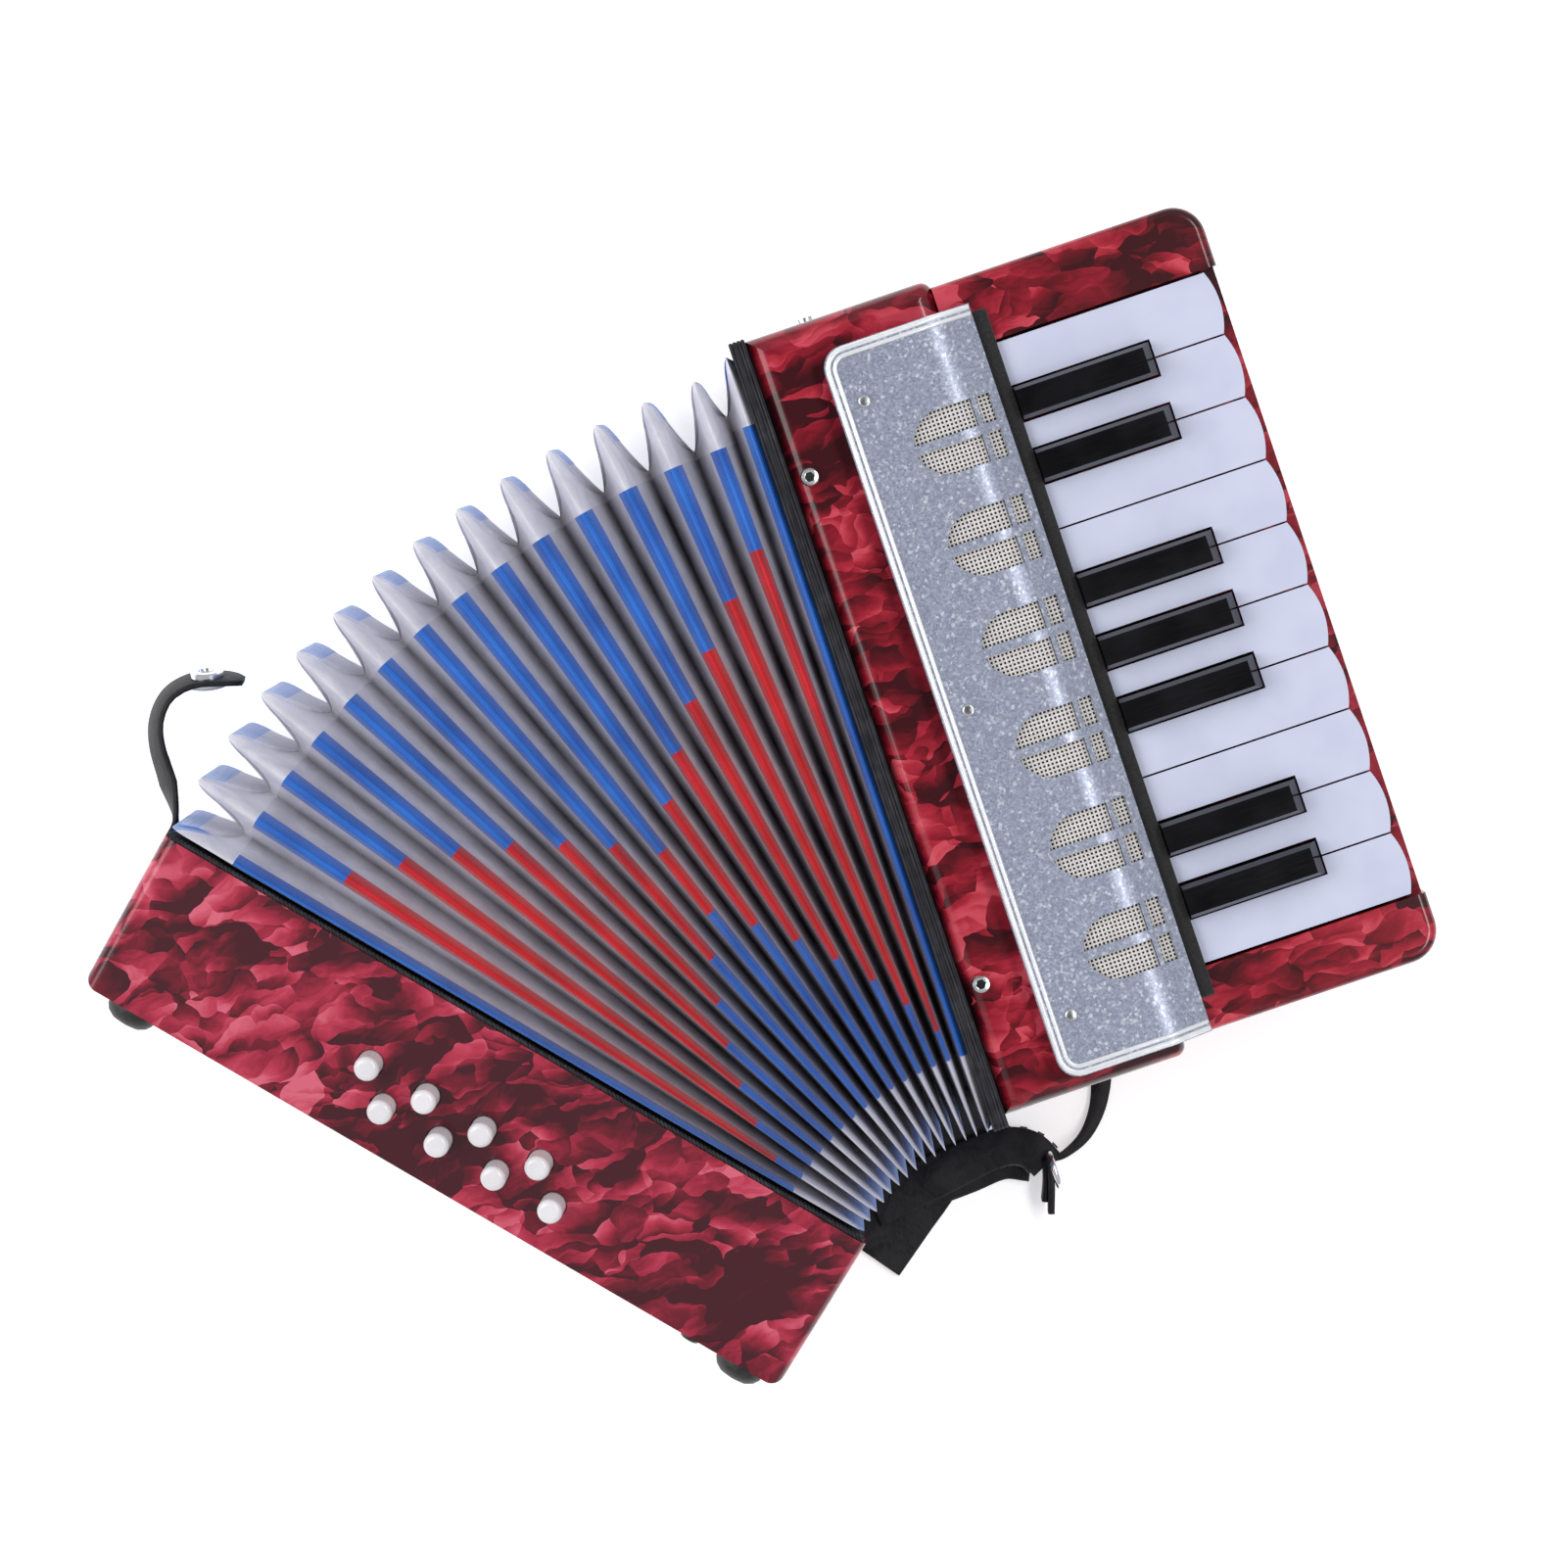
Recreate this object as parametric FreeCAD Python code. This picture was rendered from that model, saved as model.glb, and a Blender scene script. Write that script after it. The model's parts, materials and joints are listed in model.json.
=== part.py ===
"""A child's piano accordion with seventeen keys and eight bass buttons, its bellows fanned open.

Built in millimetres, lying on its back: +Z is up, out of the playing side, +Y runs along the keyboard to
the end where the bellows open, and +X runs from the bass side to the keyboard. The origin is on the surface
that the instrument lies on, under the middle of its outline.
The treble side is fixed. The bellows are a chain of thirteen folds, each hinged to the one before it near
the closed end, and the bass side hangs on the last fold.
"""
import FreeCAD
import Part
import math
import os

Vector = FreeCAD.Vector
X_AXIS, Y_AXIS, Z_AXIS = Vector(1, 0, 0), Vector(0, 1, 0), Vector(0, 0, 1)

# Where the treble casing's bellows face and mid-length stand in the row frame.
TREBLE_X, TREBLE_Y = 49.39, 24.54

# Casings.
BOX_BACK, BOX_FRONT = 7.0, 83.0
WALL = 4.0
COVER = 3.0
TREBLE_W, TREBLE_L = 52.0, 220.0
BASS_W, BASS_L = 47.5, 219.4
BASS_DROP = 5.6
BASS_OUTER_FRONT = 71.0
EDGE_R = 5.0

# Bellows. The folds are counted from the treble side.
FRAME_T = 4.5
FOLDS = 13
PITCH = 3.06
FOLD_T = 2.8
FOLD_BOTTOM, FOLD_TOP = -113.0, 104.0
FIRST_FOLD_TOP = 107.5
FOLD_BACK, FOLD_FRONT = 8.0, 82.0
FOLD_DEPTH = 13.0
LINING_T = 0.8
HINGE_Y = -114.7
OPEN_ANGLE, FIRST_ANGLE = 41.0, 1.9
STEP_ANGLE = (OPEN_ANGLE - FIRST_ANGLE) / FOLDS

# Keyboard.
KEYS_W, KEYS_TOP = 126.6, 107.7
KEYS_BOTTOM = -106.0
BED_BACK, BED_FLOOR, END_BLOCK_TOP = 48.0, 62.0, 82.0
RIM_TOP, RIM_W = 69.0, 3.6
WHITE_COUNT = 10
WHITE_PITCH = 17.66
WHITE_TIP, WHITE_REAR, WHITE_BULGE = 122.6, 56.0, 1.7
WHITE_BOTTOM, WHITE_TOP = 73.5, 81.2
KEY_GAP = 0.7
BLACK_W, BLACK_TIP, BLACK_TOP = 9.1, 102.4, 87.5
BLACK_AFTER = (0, 1, 3, 4, 5, 7, 8)
AXLE_X, AXLE_Z, AXLE_R = 46.0, 69.5, 1.5
ARM_W, ARM_BOTTOM, ARM_TOP = 4.4, 64.5, 74.5
PALLET_REAR, PALLET_FRONT, PALLET_W = 8.0, 26.0, 7.6
BOARD_TOP, BOARD_T = 58.0, 4.0

# Grille.
GRILLE_LEFT, GRILLE_RIDGE, GRILLE_RIGHT = 17.6, 49.5, 60.0
GRILLE_Z, GRILLE_EDGE_Z, GRILLE_T, GRILLE_RIDGE_R = 90.0, 84.8, 1.0, 12.0
GRILLE_TOP_Y, GRILLE_BOTTOM_Y = 100.4, -105.6
SOUND_GROUPS = 6
SOUND_PITCH = 28.5
SOUND_FIRST_Y = 67.2
SOUND_LEFT, SOUND_RIGHT = 33.9, 52.2
SOUND_H, SOUND_BAR = 17.8, 2.5
SLIT_LEFT, SLIT_RIGHT = 53.6, 57.6

# Bass buttons, on the sloping front of the bass side.
BUTTON_R, BUTTON_OUT = 3.5, 6.5
BUTTON_PITCH = 17.8
BUTTON_FIRST_Y = 30.9
BUTTON_COLUMNS = (26.6, 35.6)
FLANGE_R, STEM_R = 4.6, 1.6

ACTION_DEPTH = 16.0
AIR_Y, AIR_Z, AIR_R, AIR_OUT = -82.9, 52.0, 3.0, 3.4

# Feet, straps and small metal parts.
FOOT_R, FOOT_OUT = 7.3, 5.4
STRAP_W, STRAP_T = 24.0, 2.0
WRIST_W, WRIST_T = 26.0, 1.8
CLOSER_W, CLOSER_T, CLOSER_Z = 13.0, 1.6, 38.0
SNAP_R = 6.0

parts = {}


def box(x0, x1, y0, y1, z0, z1):
    """A block from its lowest to its highest corner."""
    return Part.makeBox(x1 - x0, y1 - y0, z1 - z0, Vector(x0, y0, z0))


def rod(radius, length, start, direction):
    """A plain cylinder."""
    return Part.makeCylinder(radius, length, Vector(*start), direction)


def group(solids):
    """Several separate solids that share one node."""
    return Part.makeCompound(list(solids))


def fused(first, *others):
    """One solid from pieces that overlap or meet."""
    return first.multiFuse(list(others)).removeSplitter()


def prism(points, direction, z=None):
    """A closed outline of corner points, pushed along a direction."""
    corners = [Vector(*p) if z is None else Vector(p[0], p[1], z) for p in points]
    wire = Part.makePolygon(corners + corners[:1])
    return Part.Face(wire).extrude(direction)


def fillet_where(shape, radius, test):
    """Rounds the straight edges whose two ends pass the test."""
    edges = [e for e in shape.Edges if all(test(v.Point) for v in e.Vertexes) and len(e.Vertexes) == 2]
    return shape.makeFillet(radius, edges)


def ring_frame(x_mid, thickness, depth, bottom, top, back, front, corner=3.0):
    """A flat rectangular frame that stands across the bellows, with rounded outer corners."""
    outer = box(x_mid - thickness / 2, x_mid + thickness / 2, bottom, top, back, front)
    along_x = [e for e in outer.Edges if abs(e.tangentAt(e.FirstParameter).x) > 0.99]
    outer = outer.makeFillet(corner, along_x)
    inner = box(x_mid - thickness, x_mid + thickness, bottom + depth, top - depth, back + depth, front - depth)
    return outer.cut(inner)


def hinge_x(index):
    """Where hinge number index (0 is at the treble end) stands along X with the bellows shut."""
    return -FRAME_T - PITCH * (index + 1)


def hinge_angle(index):
    """How far hinge number index is open; the fold next to the treble side opens less than the others."""
    return STEP_ANGLE if index else FIRST_ANGLE


def fanned(shape, hinges):
    """Carries a shape from the shut bellows to the open fan: one small turn about each hinge before it."""
    moved = shape.copy()
    for index in range(hinges - 1, -1, -1):
        moved.rotate(Vector(hinge_x(index), HINGE_Y, 0), Z_AXIS, hinge_angle(index))
    return moved


def screw_head(radius, height, centre, direction):
    """A domed screw head with a cross recess."""
    head = rod(radius, height, (0, 0, 0), Z_AXIS)
    head = head.makeFillet(height * 0.6, [e for e in head.Edges if abs(e.BoundBox.ZMin - height) < 1e-6])
    for angle in (0, 90):
        slot = box(-radius * 0.6, radius * 0.6, -radius * 0.12, radius * 0.12, height * 0.5, height * 1.5)
        slot.rotate(Vector(0, 0, 0), Z_AXIS, angle)
        head = head.cut(slot)
    head.Placement = FreeCAD.Placement(Vector(*centre), FreeCAD.Rotation(Z_AXIS, direction))
    return head


# ---- Treble side ----

def treble_casing():
    """The main treble box: end walls, outer wall and front, open to the bellows and at the back."""
    half = TREBLE_L / 2
    shell = box(0, TREBLE_W, -half, half, BOX_BACK, BOX_FRONT)
    shell = fillet_where(shell, EDGE_R, lambda p: abs(abs(p.y) - half) < 1e-6 and p.z > BOX_FRONT - 1e-6)
    shell = fillet_where(shell, 3.0, lambda p: abs(abs(p.y) - half) < EDGE_R + 1e-6
                         and abs(p.x - TREBLE_W) < 1e-6 and p.z < BOX_FRONT - EDGE_R + 1e-6)
    shell = shell.cut(box(-1, TREBLE_W - WALL, -half + WALL, half - WALL, BOX_BACK - 1, BOX_FRONT - WALL))
    shell = shell.cut(box(21, TREBLE_W + 1, -95, 95, BOX_FRONT - WALL - 1, BOX_FRONT + 1))
    key_slot = box(TREBLE_W - WALL - 1, TREBLE_W + 1, -92, 92, BED_FLOOR, BOX_FRONT + 1)
    ledges = [box(0, TREBLE_W - WALL, -half + WALL, -half + 12, BOX_BACK + COVER, BOX_BACK + COVER + 5),
              box(0, TREBLE_W - WALL, half - 12, half - WALL, BOX_BACK + COVER, BOX_BACK + COVER + 5)]
    axle_blocks = [box(40, TREBLE_W - WALL, side * 98 - 3, side * 98 + 3, 60, 76) for side in (-1, 1)]
    shell = shell.cut(key_slot).multiFuse(ledges)
    for block in axle_blocks:
        shell = shell.fuse(block).cut(rod(AXLE_R + 0.05, 12, (AXLE_X, block.BoundBox.YMin - 3, AXLE_Z), Y_AXIS))
    cheeks = [box(40, TREBLE_W - WALL, 101 if side > 0 else -106.5, 106.5 if side > 0 else -101, 60, 76)
              for side in (-1, 1)]
    return shell.multiFuse(cheeks).removeSplitter()


def treble_back_cover():
    """The back panel, let into the casing between its walls."""
    half = TREBLE_L / 2 - WALL - 0.2
    return box(0, TREBLE_W - WALL - 0.2, -half, half, BOX_BACK, BOX_BACK + COVER)


def keyboard_bed():
    """The board that carries the keys: a floor, two end blocks and a low rim along the key tips."""
    bed = box(TREBLE_W, KEYS_W, KEYS_BOTTOM, KEYS_TOP, BED_BACK, END_BLOCK_TOP)
    outer = [e for e in bed.Edges if all(abs(v.X - KEYS_W) < 1e-6 for v in e.Vertexes)
             and abs(e.tangentAt(e.FirstParameter).z) > 0.99]
    bed = bed.makeFillet(9.0, outer)
    keys_half = WHITE_COUNT * WHITE_PITCH / 2 + 0.6
    bed = bed.cut(box(TREBLE_W - 1, KEYS_W - RIM_W, -keys_half, keys_half, BED_FLOOR, END_BLOCK_TOP + 1))
    bed = bed.cut(box(KEYS_W - RIM_W - 1, KEYS_W + 1, -keys_half, keys_half, RIM_TOP, END_BLOCK_TOP + 1))
    rounded = [e for e in bed.Edges if abs(e.BoundBox.ZMin - END_BLOCK_TOP) < 1e-6
               and abs(e.BoundBox.ZMax - END_BLOCK_TOP) < 1e-6
               and (abs(e.BoundBox.YMin - KEYS_TOP) < 1e-6 or abs(e.BoundBox.YMax - KEYS_BOTTOM) < 1e-6)]
    return bed.makeFillet(2.5, rounded)


def sound_hole(y_mid):
    """A bullet-shaped sound hole, cut in two by a bar, with a short slit beside each half on the slope."""
    half = SOUND_H / 2
    low, high = y_mid - half, y_mid + half
    nose_x = SOUND_LEFT + 8.0
    corners = [Vector(nose_x, low, 0), Vector(SOUND_RIGHT, low, 0), Vector(SOUND_RIGHT, high, 0),
               Vector(nose_x, high, 0)]
    edges = [Part.LineSegment(corners[i], corners[i + 1]).toShape() for i in range(3)]
    nose = Part.Arc(corners[3], Vector(SOUND_LEFT, y_mid, 0), corners[0]).toShape()
    bullet = Part.Face(Part.Wire(edges + [nose])).extrude(Vector(0, 0, 30))
    slit = box(SLIT_LEFT, SLIT_RIGHT, low, high, 0, 30)
    bar = box(SOUND_LEFT - 5, SLIT_RIGHT + 1, y_mid - SOUND_BAR / 2, y_mid + SOUND_BAR / 2, -1, 31)
    return group([bullet.cut(bar), slit.cut(bar)])


def grille_profile(inset):
    """The grille's end-on outline, in X and Z: flat on top and sloping down to the keys."""
    low = BOX_FRONT if inset == 0 else BOX_FRONT - 1
    right = GRILLE_RIGHT if inset == 0 else GRILLE_RIGHT + 1
    drop = (GRILLE_Z - GRILLE_EDGE_Z) / (GRILLE_RIGHT - GRILLE_RIDGE)
    edge = GRILLE_Z - inset - drop * (right - GRILLE_RIDGE)
    return [(GRILLE_LEFT + inset, low), (right, low), (right, edge), (GRILLE_RIDGE, GRILLE_Z - inset),
            (GRILLE_LEFT + inset, GRILLE_Z - inset)]


def grille():
    """The perforated metal cover over the key levers."""
    def solid(inset):
        points = [(x, GRILLE_BOTTOM_Y + inset, z) for x, z in grille_profile(inset)]
        return prism(points, Vector(0, GRILLE_TOP_Y - GRILLE_BOTTOM_Y - 2 * inset, 0))
    outer = solid(0)
    corner = [e for e in outer.Edges if all(abs(v.X - GRILLE_LEFT) < 1e-6 for v in e.Vertexes)
              and abs(e.tangentAt(e.FirstParameter).z) > 0.99]
    outer = outer.makeFillet(6.0, corner)
    ridge = [e for e in outer.Edges if all(abs(v.X - GRILLE_RIDGE) < 1e-6 for v in e.Vertexes)
             and abs(e.tangentAt(e.FirstParameter).y) > 0.99]
    outer = outer.makeFillet(GRILLE_RIDGE_R, ridge)
    inner = solid(GRILLE_T)
    inner_corner = [e for e in inner.Edges if all(abs(v.X - GRILLE_LEFT - GRILLE_T) < 1e-6 for v in e.Vertexes)
                    and abs(e.tangentAt(e.FirstParameter).z) > 0.99]
    inner = inner.makeFillet(6.0 - GRILLE_T, inner_corner)
    cover = outer.cut(inner)
    for index in range(SOUND_GROUPS):
        hole = sound_hole(SOUND_FIRST_Y - index * SOUND_PITCH)
        hole.translate(Vector(0, 0, BOX_FRONT - 5))
        cover = cover.cut(hole)
    return cover


def grille_mesh():
    """The gauze behind the sound holes, bent like the grille."""
    drop = (GRILLE_Z - GRILLE_EDGE_Z) / (GRILLE_RIGHT - GRILLE_RIDGE)
    top, thick = GRILLE_Z - GRILLE_T - 0.1, 0.5
    far = GRILLE_RIGHT - 1.6
    low, high = -88.0, 82.0
    edge = top - drop * (far - GRILLE_RIDGE)
    points = [(30, low, top), (GRILLE_RIDGE, low, top), (far, low, edge), (far, low, edge - thick),
              (GRILLE_RIDGE, low, top - thick), (30, low, top - thick)]
    return prism(points, Vector(0, high - low, 0))


def key_slot_felt():
    """The black felt strip under the grille's edge, over the rear ends of the keys."""
    return box(58.6, 64.0, -97.0, 98.0, END_BLOCK_TOP, 83.6)


def gauze_and_felt():
    """The two soft fittings behind the grille."""
    return group([grille_mesh(), key_slot_felt()])


def sound_board():
    """The board that the pallets close, with one slot for each key."""
    board = box(0.5, TREBLE_W - WALL - 0.2, -105.8, 105.8, BOARD_TOP - BOARD_T, BOARD_TOP)
    for y in arm_positions():
        board = board.cut(box(PALLET_REAR + 2, PALLET_FRONT - 2, y - 2.2, y + 2.2, BOARD_TOP - 5, BOARD_TOP + 1))
    return board


def reed_block(x0, x1, y0, y1, z0, z1, positions, slot):
    """A wooden reed block with a chamber for each note, and a metal reed plate under each chamber."""
    block = box(x0, x1, y0, y1, z0, z1)
    solids = []
    for y in positions:
        block = block.cut(box(x0 + 3, x1 - 3, y - slot, y + slot, z0 - 1, z1 + 1))
        plate = box(x0 + 1, x1 - 1, y - slot - 1, y + slot + 1, z0 - 1.2, z0)
        plate = plate.cut(box(x0 + 5, x1 - 6, y - 1.1, y + 1.1, z0 - 2, z0 + 1))
        tongue = box(x0 + 4.5, x1 - 4, y - 0.9, y + 0.9, z0 - 1.5, z0 - 1.2)
        solids += [plate, tongue]
    return group([block] + solids)


def key_axle_and_springs():
    """The rod that all keys turn on, with a torsion spring beside each key arm."""
    solids = [rod(AXLE_R, 201.6, (AXLE_X, -100.8, AXLE_Z), Y_AXIS)]
    for y in arm_positions():
        y_spring = y + ARM_W / 2 + 0.5
        coil = rod(2.7, 2.6, (AXLE_X, y_spring, AXLE_Z), Y_AXIS)
        coil = coil.cut(rod(AXLE_R + 0.2, 2.6, (AXLE_X, y_spring, AXLE_Z), Y_AXIS))
        leg = rod(0.4, 9.6, (AXLE_X - 2.3, y_spring + 0.5, BOARD_TOP + 0.2), Z_AXIS)
        tail = rod(0.4, 12.0, (AXLE_X - 13.0, y_spring + 2.1, AXLE_Z + 2.2), X_AXIS)
        solids.append(fused(coil, leg, tail))
    return group(solids)


def strap_bracket(x, y):
    """A metal bracket on the back of the treble side: a plate with two legs and a bar for a strap."""
    plate = box(x - 13, x + 13, y - 6, y + 6, BOX_BACK - 1.5, BOX_BACK)
    legs = [box(x + side * 14.5 - 1.5, x + side * 14.5 + 1.5, y - 5, y + 5, 0, BOX_BACK) for side in (-1, 1)]
    wings = [box(min(x + side * 12.5, x + side * 15), max(x + side * 12.5, x + side * 15), y - 5, y + 5,
                 BOX_BACK - 1.5, BOX_BACK) for side in (-1, 1)]
    bar = rod(1.2, 29, (x - 14.5, y, 3.0), X_AXIS)
    return fused(plate, *legs, *wings, bar)


def snap_stud():
    """The press stud on the treble side's upper end, for the bellows strap."""
    base = rod(4.0, 0.8, (17.8, TREBLE_L / 2, 45), Y_AXIS)
    post = rod(2.0, 1.9, (17.8, TREBLE_L / 2 + 0.8, 45), Y_AXIS)
    knob = rod(2.6, 1.0, (17.8, TREBLE_L / 2 + 1.7, 45), Y_AXIS)
    return fused(base, post, knob)


def treble_fasteners():
    """Grille screws, the pins that hold the bellows frame, the back cover's screws and the press stud."""
    solids = [screw_head(1.7, 1.0, (25.2, y, GRILLE_Z), Z_AXIS) for y in (84.3, -2.7, -89.0)]
    solids += [screw_head(1.4, 1.0, (24.0, y, BOX_BACK), -Z_AXIS) for y in (-60, 0, 60)]
    for y in (70.0, -74.0):
        collar = rod(2.3, 1.2, (5.0, y, BOX_FRONT), Z_AXIS)
        collar = collar.cut(rod(1.1, 2.0, (5.0, y, BOX_FRONT + 0.3), Z_AXIS))
        solids.append(collar)
    solids.append(snap_stud())
    return group(solids)


def treble_bellows_frame():
    """The black frame that joins the bellows to the treble casing, with the first half fold fixed to it."""
    frame = ring_frame(-FRAME_T / 2, FRAME_T, 9.0, -112.5, 110.5, 7.0, 83.6)
    x_mid = -FRAME_T - PITCH / 2
    fold = ring_frame(x_mid, FOLD_T, FOLD_DEPTH, FOLD_BOTTOM, FIRST_FOLD_TOP, FOLD_BACK, FOLD_FRONT)
    return group([frame, fold])


# ---- Keys ----

def arm_positions():
    """Where each key's arm and pallet lie along Y, all evenly spaced within each run of keys."""
    top = WHITE_COUNT * WHITE_PITCH / 2
    found = []
    start = 0
    for whites, notes in ((3, 5), (4, 7), (3, 5)):
        step = whites * WHITE_PITCH / notes
        found += [top - start * WHITE_PITCH - step * (n + 0.5) for n in range(notes)]
        start += whites
    return found


def key_notes():
    """The keys from the open end down: (kind, index, y of the arm)."""
    kinds = []
    for white in range(WHITE_COUNT):
        kinds.append(("white", white))
        if white in BLACK_AFTER:
            kinds.append(("black", BLACK_AFTER.index(white)))
    return [(kind, index, y) for (kind, index), y in zip(kinds, arm_positions())]


def key_arm(y):
    """The lever under a key: it turns on the axle and carries the pallet at its far end."""
    arm = box(PALLET_REAR + 2, 62.0, y - ARM_W / 2, y + ARM_W / 2, ARM_BOTTOM, ARM_TOP)
    arm = arm.cut(rod(AXLE_R + 0.06, ARM_W + 2, (AXLE_X, y - ARM_W / 2 - 1, AXLE_Z), Y_AXIS))
    return arm


def pallet(y):
    """The felt-faced block that closes this key's slot in the sound board."""
    return box(PALLET_REAR, PALLET_FRONT, y - PALLET_W / 2, y + PALLET_W / 2, BOARD_TOP + 0.2, ARM_BOTTOM)


def boundary_y(white):
    """Y of the upper edge of white key number white."""
    return WHITE_COUNT * WHITE_PITCH / 2 - white * WHITE_PITCH


def white_key(index, arm_y):
    """A white key: full width at the tip, and narrowed where it passes between black keys."""
    top, bottom = boundary_y(index) - 0.25, boundary_y(index + 1) + 0.25
    tip = box(BLACK_TIP + KEY_GAP, WHITE_TIP, bottom, top, WHITE_BOTTOM, WHITE_TOP)
    bulge_y = (top + bottom) / 2
    ends = [Vector(WHITE_TIP, bottom, 0), Vector(WHITE_TIP, top, 0)]
    arc = Part.Arc(ends[0], Vector(WHITE_TIP + WHITE_BULGE, bulge_y, 0), ends[1])
    chord = Part.LineSegment(ends[1], ends[0])
    nose = Part.Face(Part.Wire([arc.toShape(), chord.toShape()]))
    nose.translate(Vector(0, 0, WHITE_BOTTOM))
    nose = nose.extrude(Vector(0, 0, WHITE_TOP - WHITE_BOTTOM))
    cut = BLACK_W / 2 + KEY_GAP - 0.25
    high = top - (cut if index - 1 in BLACK_AFTER else 0)
    low = bottom + (cut if index in BLACK_AFTER else 0)
    tail = box(WHITE_REAR, BLACK_TIP + KEY_GAP, low, high, WHITE_BOTTOM, WHITE_TOP)
    return group([fused(tip, nose, tail, key_arm(arm_y)), pallet(arm_y)])


def black_key(index, arm_y):
    """A black key, raised above the white ones, with a sloping tip and sides that draw in."""
    y = boundary_y(BLACK_AFTER[index] + 1)
    half, shoulder = BLACK_W / 2, 1.0
    outline = [(WHITE_REAR, y - half, WHITE_BOTTOM), (WHITE_REAR, y + half, WHITE_BOTTOM),
               (WHITE_REAR, y + half, BLACK_TOP - 3), (WHITE_REAR, y + half - shoulder, BLACK_TOP),
               (WHITE_REAR, y - half + shoulder, BLACK_TOP), (WHITE_REAR, y - half, BLACK_TOP - 3)]
    body = prism(outline, Vector(BLACK_TIP - WHITE_REAR, 0, 0))
    slope = [(BLACK_TIP + 0.1, y - 8, BLACK_TOP - 5), (BLACK_TIP + 0.1, y - 8, BLACK_TOP + 1),
             (BLACK_TIP - 2.6, y - 8, BLACK_TOP + 1)]
    body = body.cut(prism(slope, Vector(0, 16, 0)))
    body = body.cut(box(WHITE_REAR - 1, 64.3, y - 8, y + 8, WHITE_TOP, BLACK_TOP + 1))
    return group([fused(body, key_arm(arm_y)), pallet(arm_y)])


# ---- Straps on the treble side ----

def strap_run(start, end, width, z0, thickness):
    """One flat straight run of strap between two points, square at its ends."""
    a, b = Vector(start[0], start[1], z0), Vector(end[0], end[1], z0)
    along = (b - a).normalize()
    side = Vector(-along.y, along.x, 0) * (width / 2)
    corners = [a + side, b + side, b - side, a - side]
    return prism([(c.x, c.y, c.z) for c in corners], Vector(0, 0, thickness))


RING_AT = (8.4, -137.5)
RING_R, RING_WIRE, RING_Z = 5.2, 1.0, 6.8
STRAP_TURN_1, STRAP_TURN_2, STRAP_TURN_3 = (-12.0, -114.6), (14.0, 58.0), (96.0, 40.0)
BRACKET_TOP, BRACKET_BOTTOM = (27.0, 96.0), (31.0, -96.0)


def shoulder_strap():
    """The shoulder strap as it lies folded under the instrument, and its narrow adjusting tail."""
    wide = [strap_run((-36.0, -131.0), (RING_AT[0] + 0.6, -128.5), 15.0, 0, STRAP_T),
            strap_run((-50.6, -143.6), STRAP_TURN_1, STRAP_W, 0, STRAP_T),
            strap_run((-15.0, -122.0), STRAP_TURN_2, STRAP_W, 0, STRAP_T),
            strap_run((3, 61), STRAP_TURN_3, STRAP_W, 0, STRAP_T),
            strap_run((104, 31), (34.5, 85.5), STRAP_W - 4, 0, STRAP_T),
            strap_run((36, 84), (BRACKET_TOP[0], BRACKET_TOP[1] - 4.5), 18.0, 0, STRAP_T)]
    band = fused(*wide)
    tail = fused(strap_run((RING_AT[0] - 0.6, -139.0), (33.0, -139.0), 8.0, 0, STRAP_T),
                 strap_run((31.0, -143.0), (BRACKET_BOTTOM[0], BRACKET_BOTTOM[1] - 4.5), 9.0, 0, STRAP_T))
    return group([band, tail])


def strap_hardware():
    """The two strap brackets on the treble side's back, and the metal ring between strap and tail."""
    ring = Part.makeTorus(RING_R, RING_WIRE, Vector(*RING_AT, RING_Z), X_AXIS)
    return group([strap_bracket(*BRACKET_TOP), strap_bracket(*BRACKET_BOTTOM), ring])


# ---- Bass side, drawn with the bellows shut ----

BASS_FRAME_T = 4.0
BASS_FACE = -FRAME_T - PITCH * (FOLDS + 1) - 0.15 - BASS_FRAME_T
BASS_OUT = BASS_FACE - BASS_W
STRAP_ROOT = (BASS_FACE - 4.0, BASS_L / 2 + 0.3)
SLOPE = math.atan2(BOX_FRONT - BASS_OUTER_FRONT, BASS_W)
SLOPE_NORMAL = Vector(-math.sin(SLOPE), 0, math.cos(SLOPE))


def bass_outline(inset):
    """The bass side's end-on outline in X and Z, with its front sloping down to the outer side."""
    lift = inset / math.cos(SLOPE) if inset else 0
    inner_front = BOX_FRONT - lift
    outer_front = BASS_OUTER_FRONT - lift + inset * math.tan(SLOPE)
    return [(BASS_FACE + (1 if inset else 0), BOX_BACK - (1 if inset else 0)),
            (BASS_FACE + (1 if inset else 0), inner_front + (math.tan(SLOPE) if inset else 0)),
            (BASS_OUT + inset, outer_front), (BASS_OUT + inset, BOX_BACK - (1 if inset else 0))]


def on_slope(out, distance):
    """A point on the sloping front: out is measured along the slope from the bellows edge."""
    x = BASS_FACE - out * math.cos(SLOPE)
    z = BOX_FRONT - out * math.sin(SLOPE)
    return Vector(x, distance, z)


def button_places():
    """The eight bass buttons: two staggered columns of four."""
    first = BUTTON_FIRST_Y
    places = []
    for row in range(4):
        for column, out in enumerate(BUTTON_COLUMNS):
            places.append(on_slope(out, first - row * BUTTON_PITCH - column * BUTTON_PITCH / 2))
    return places


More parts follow.
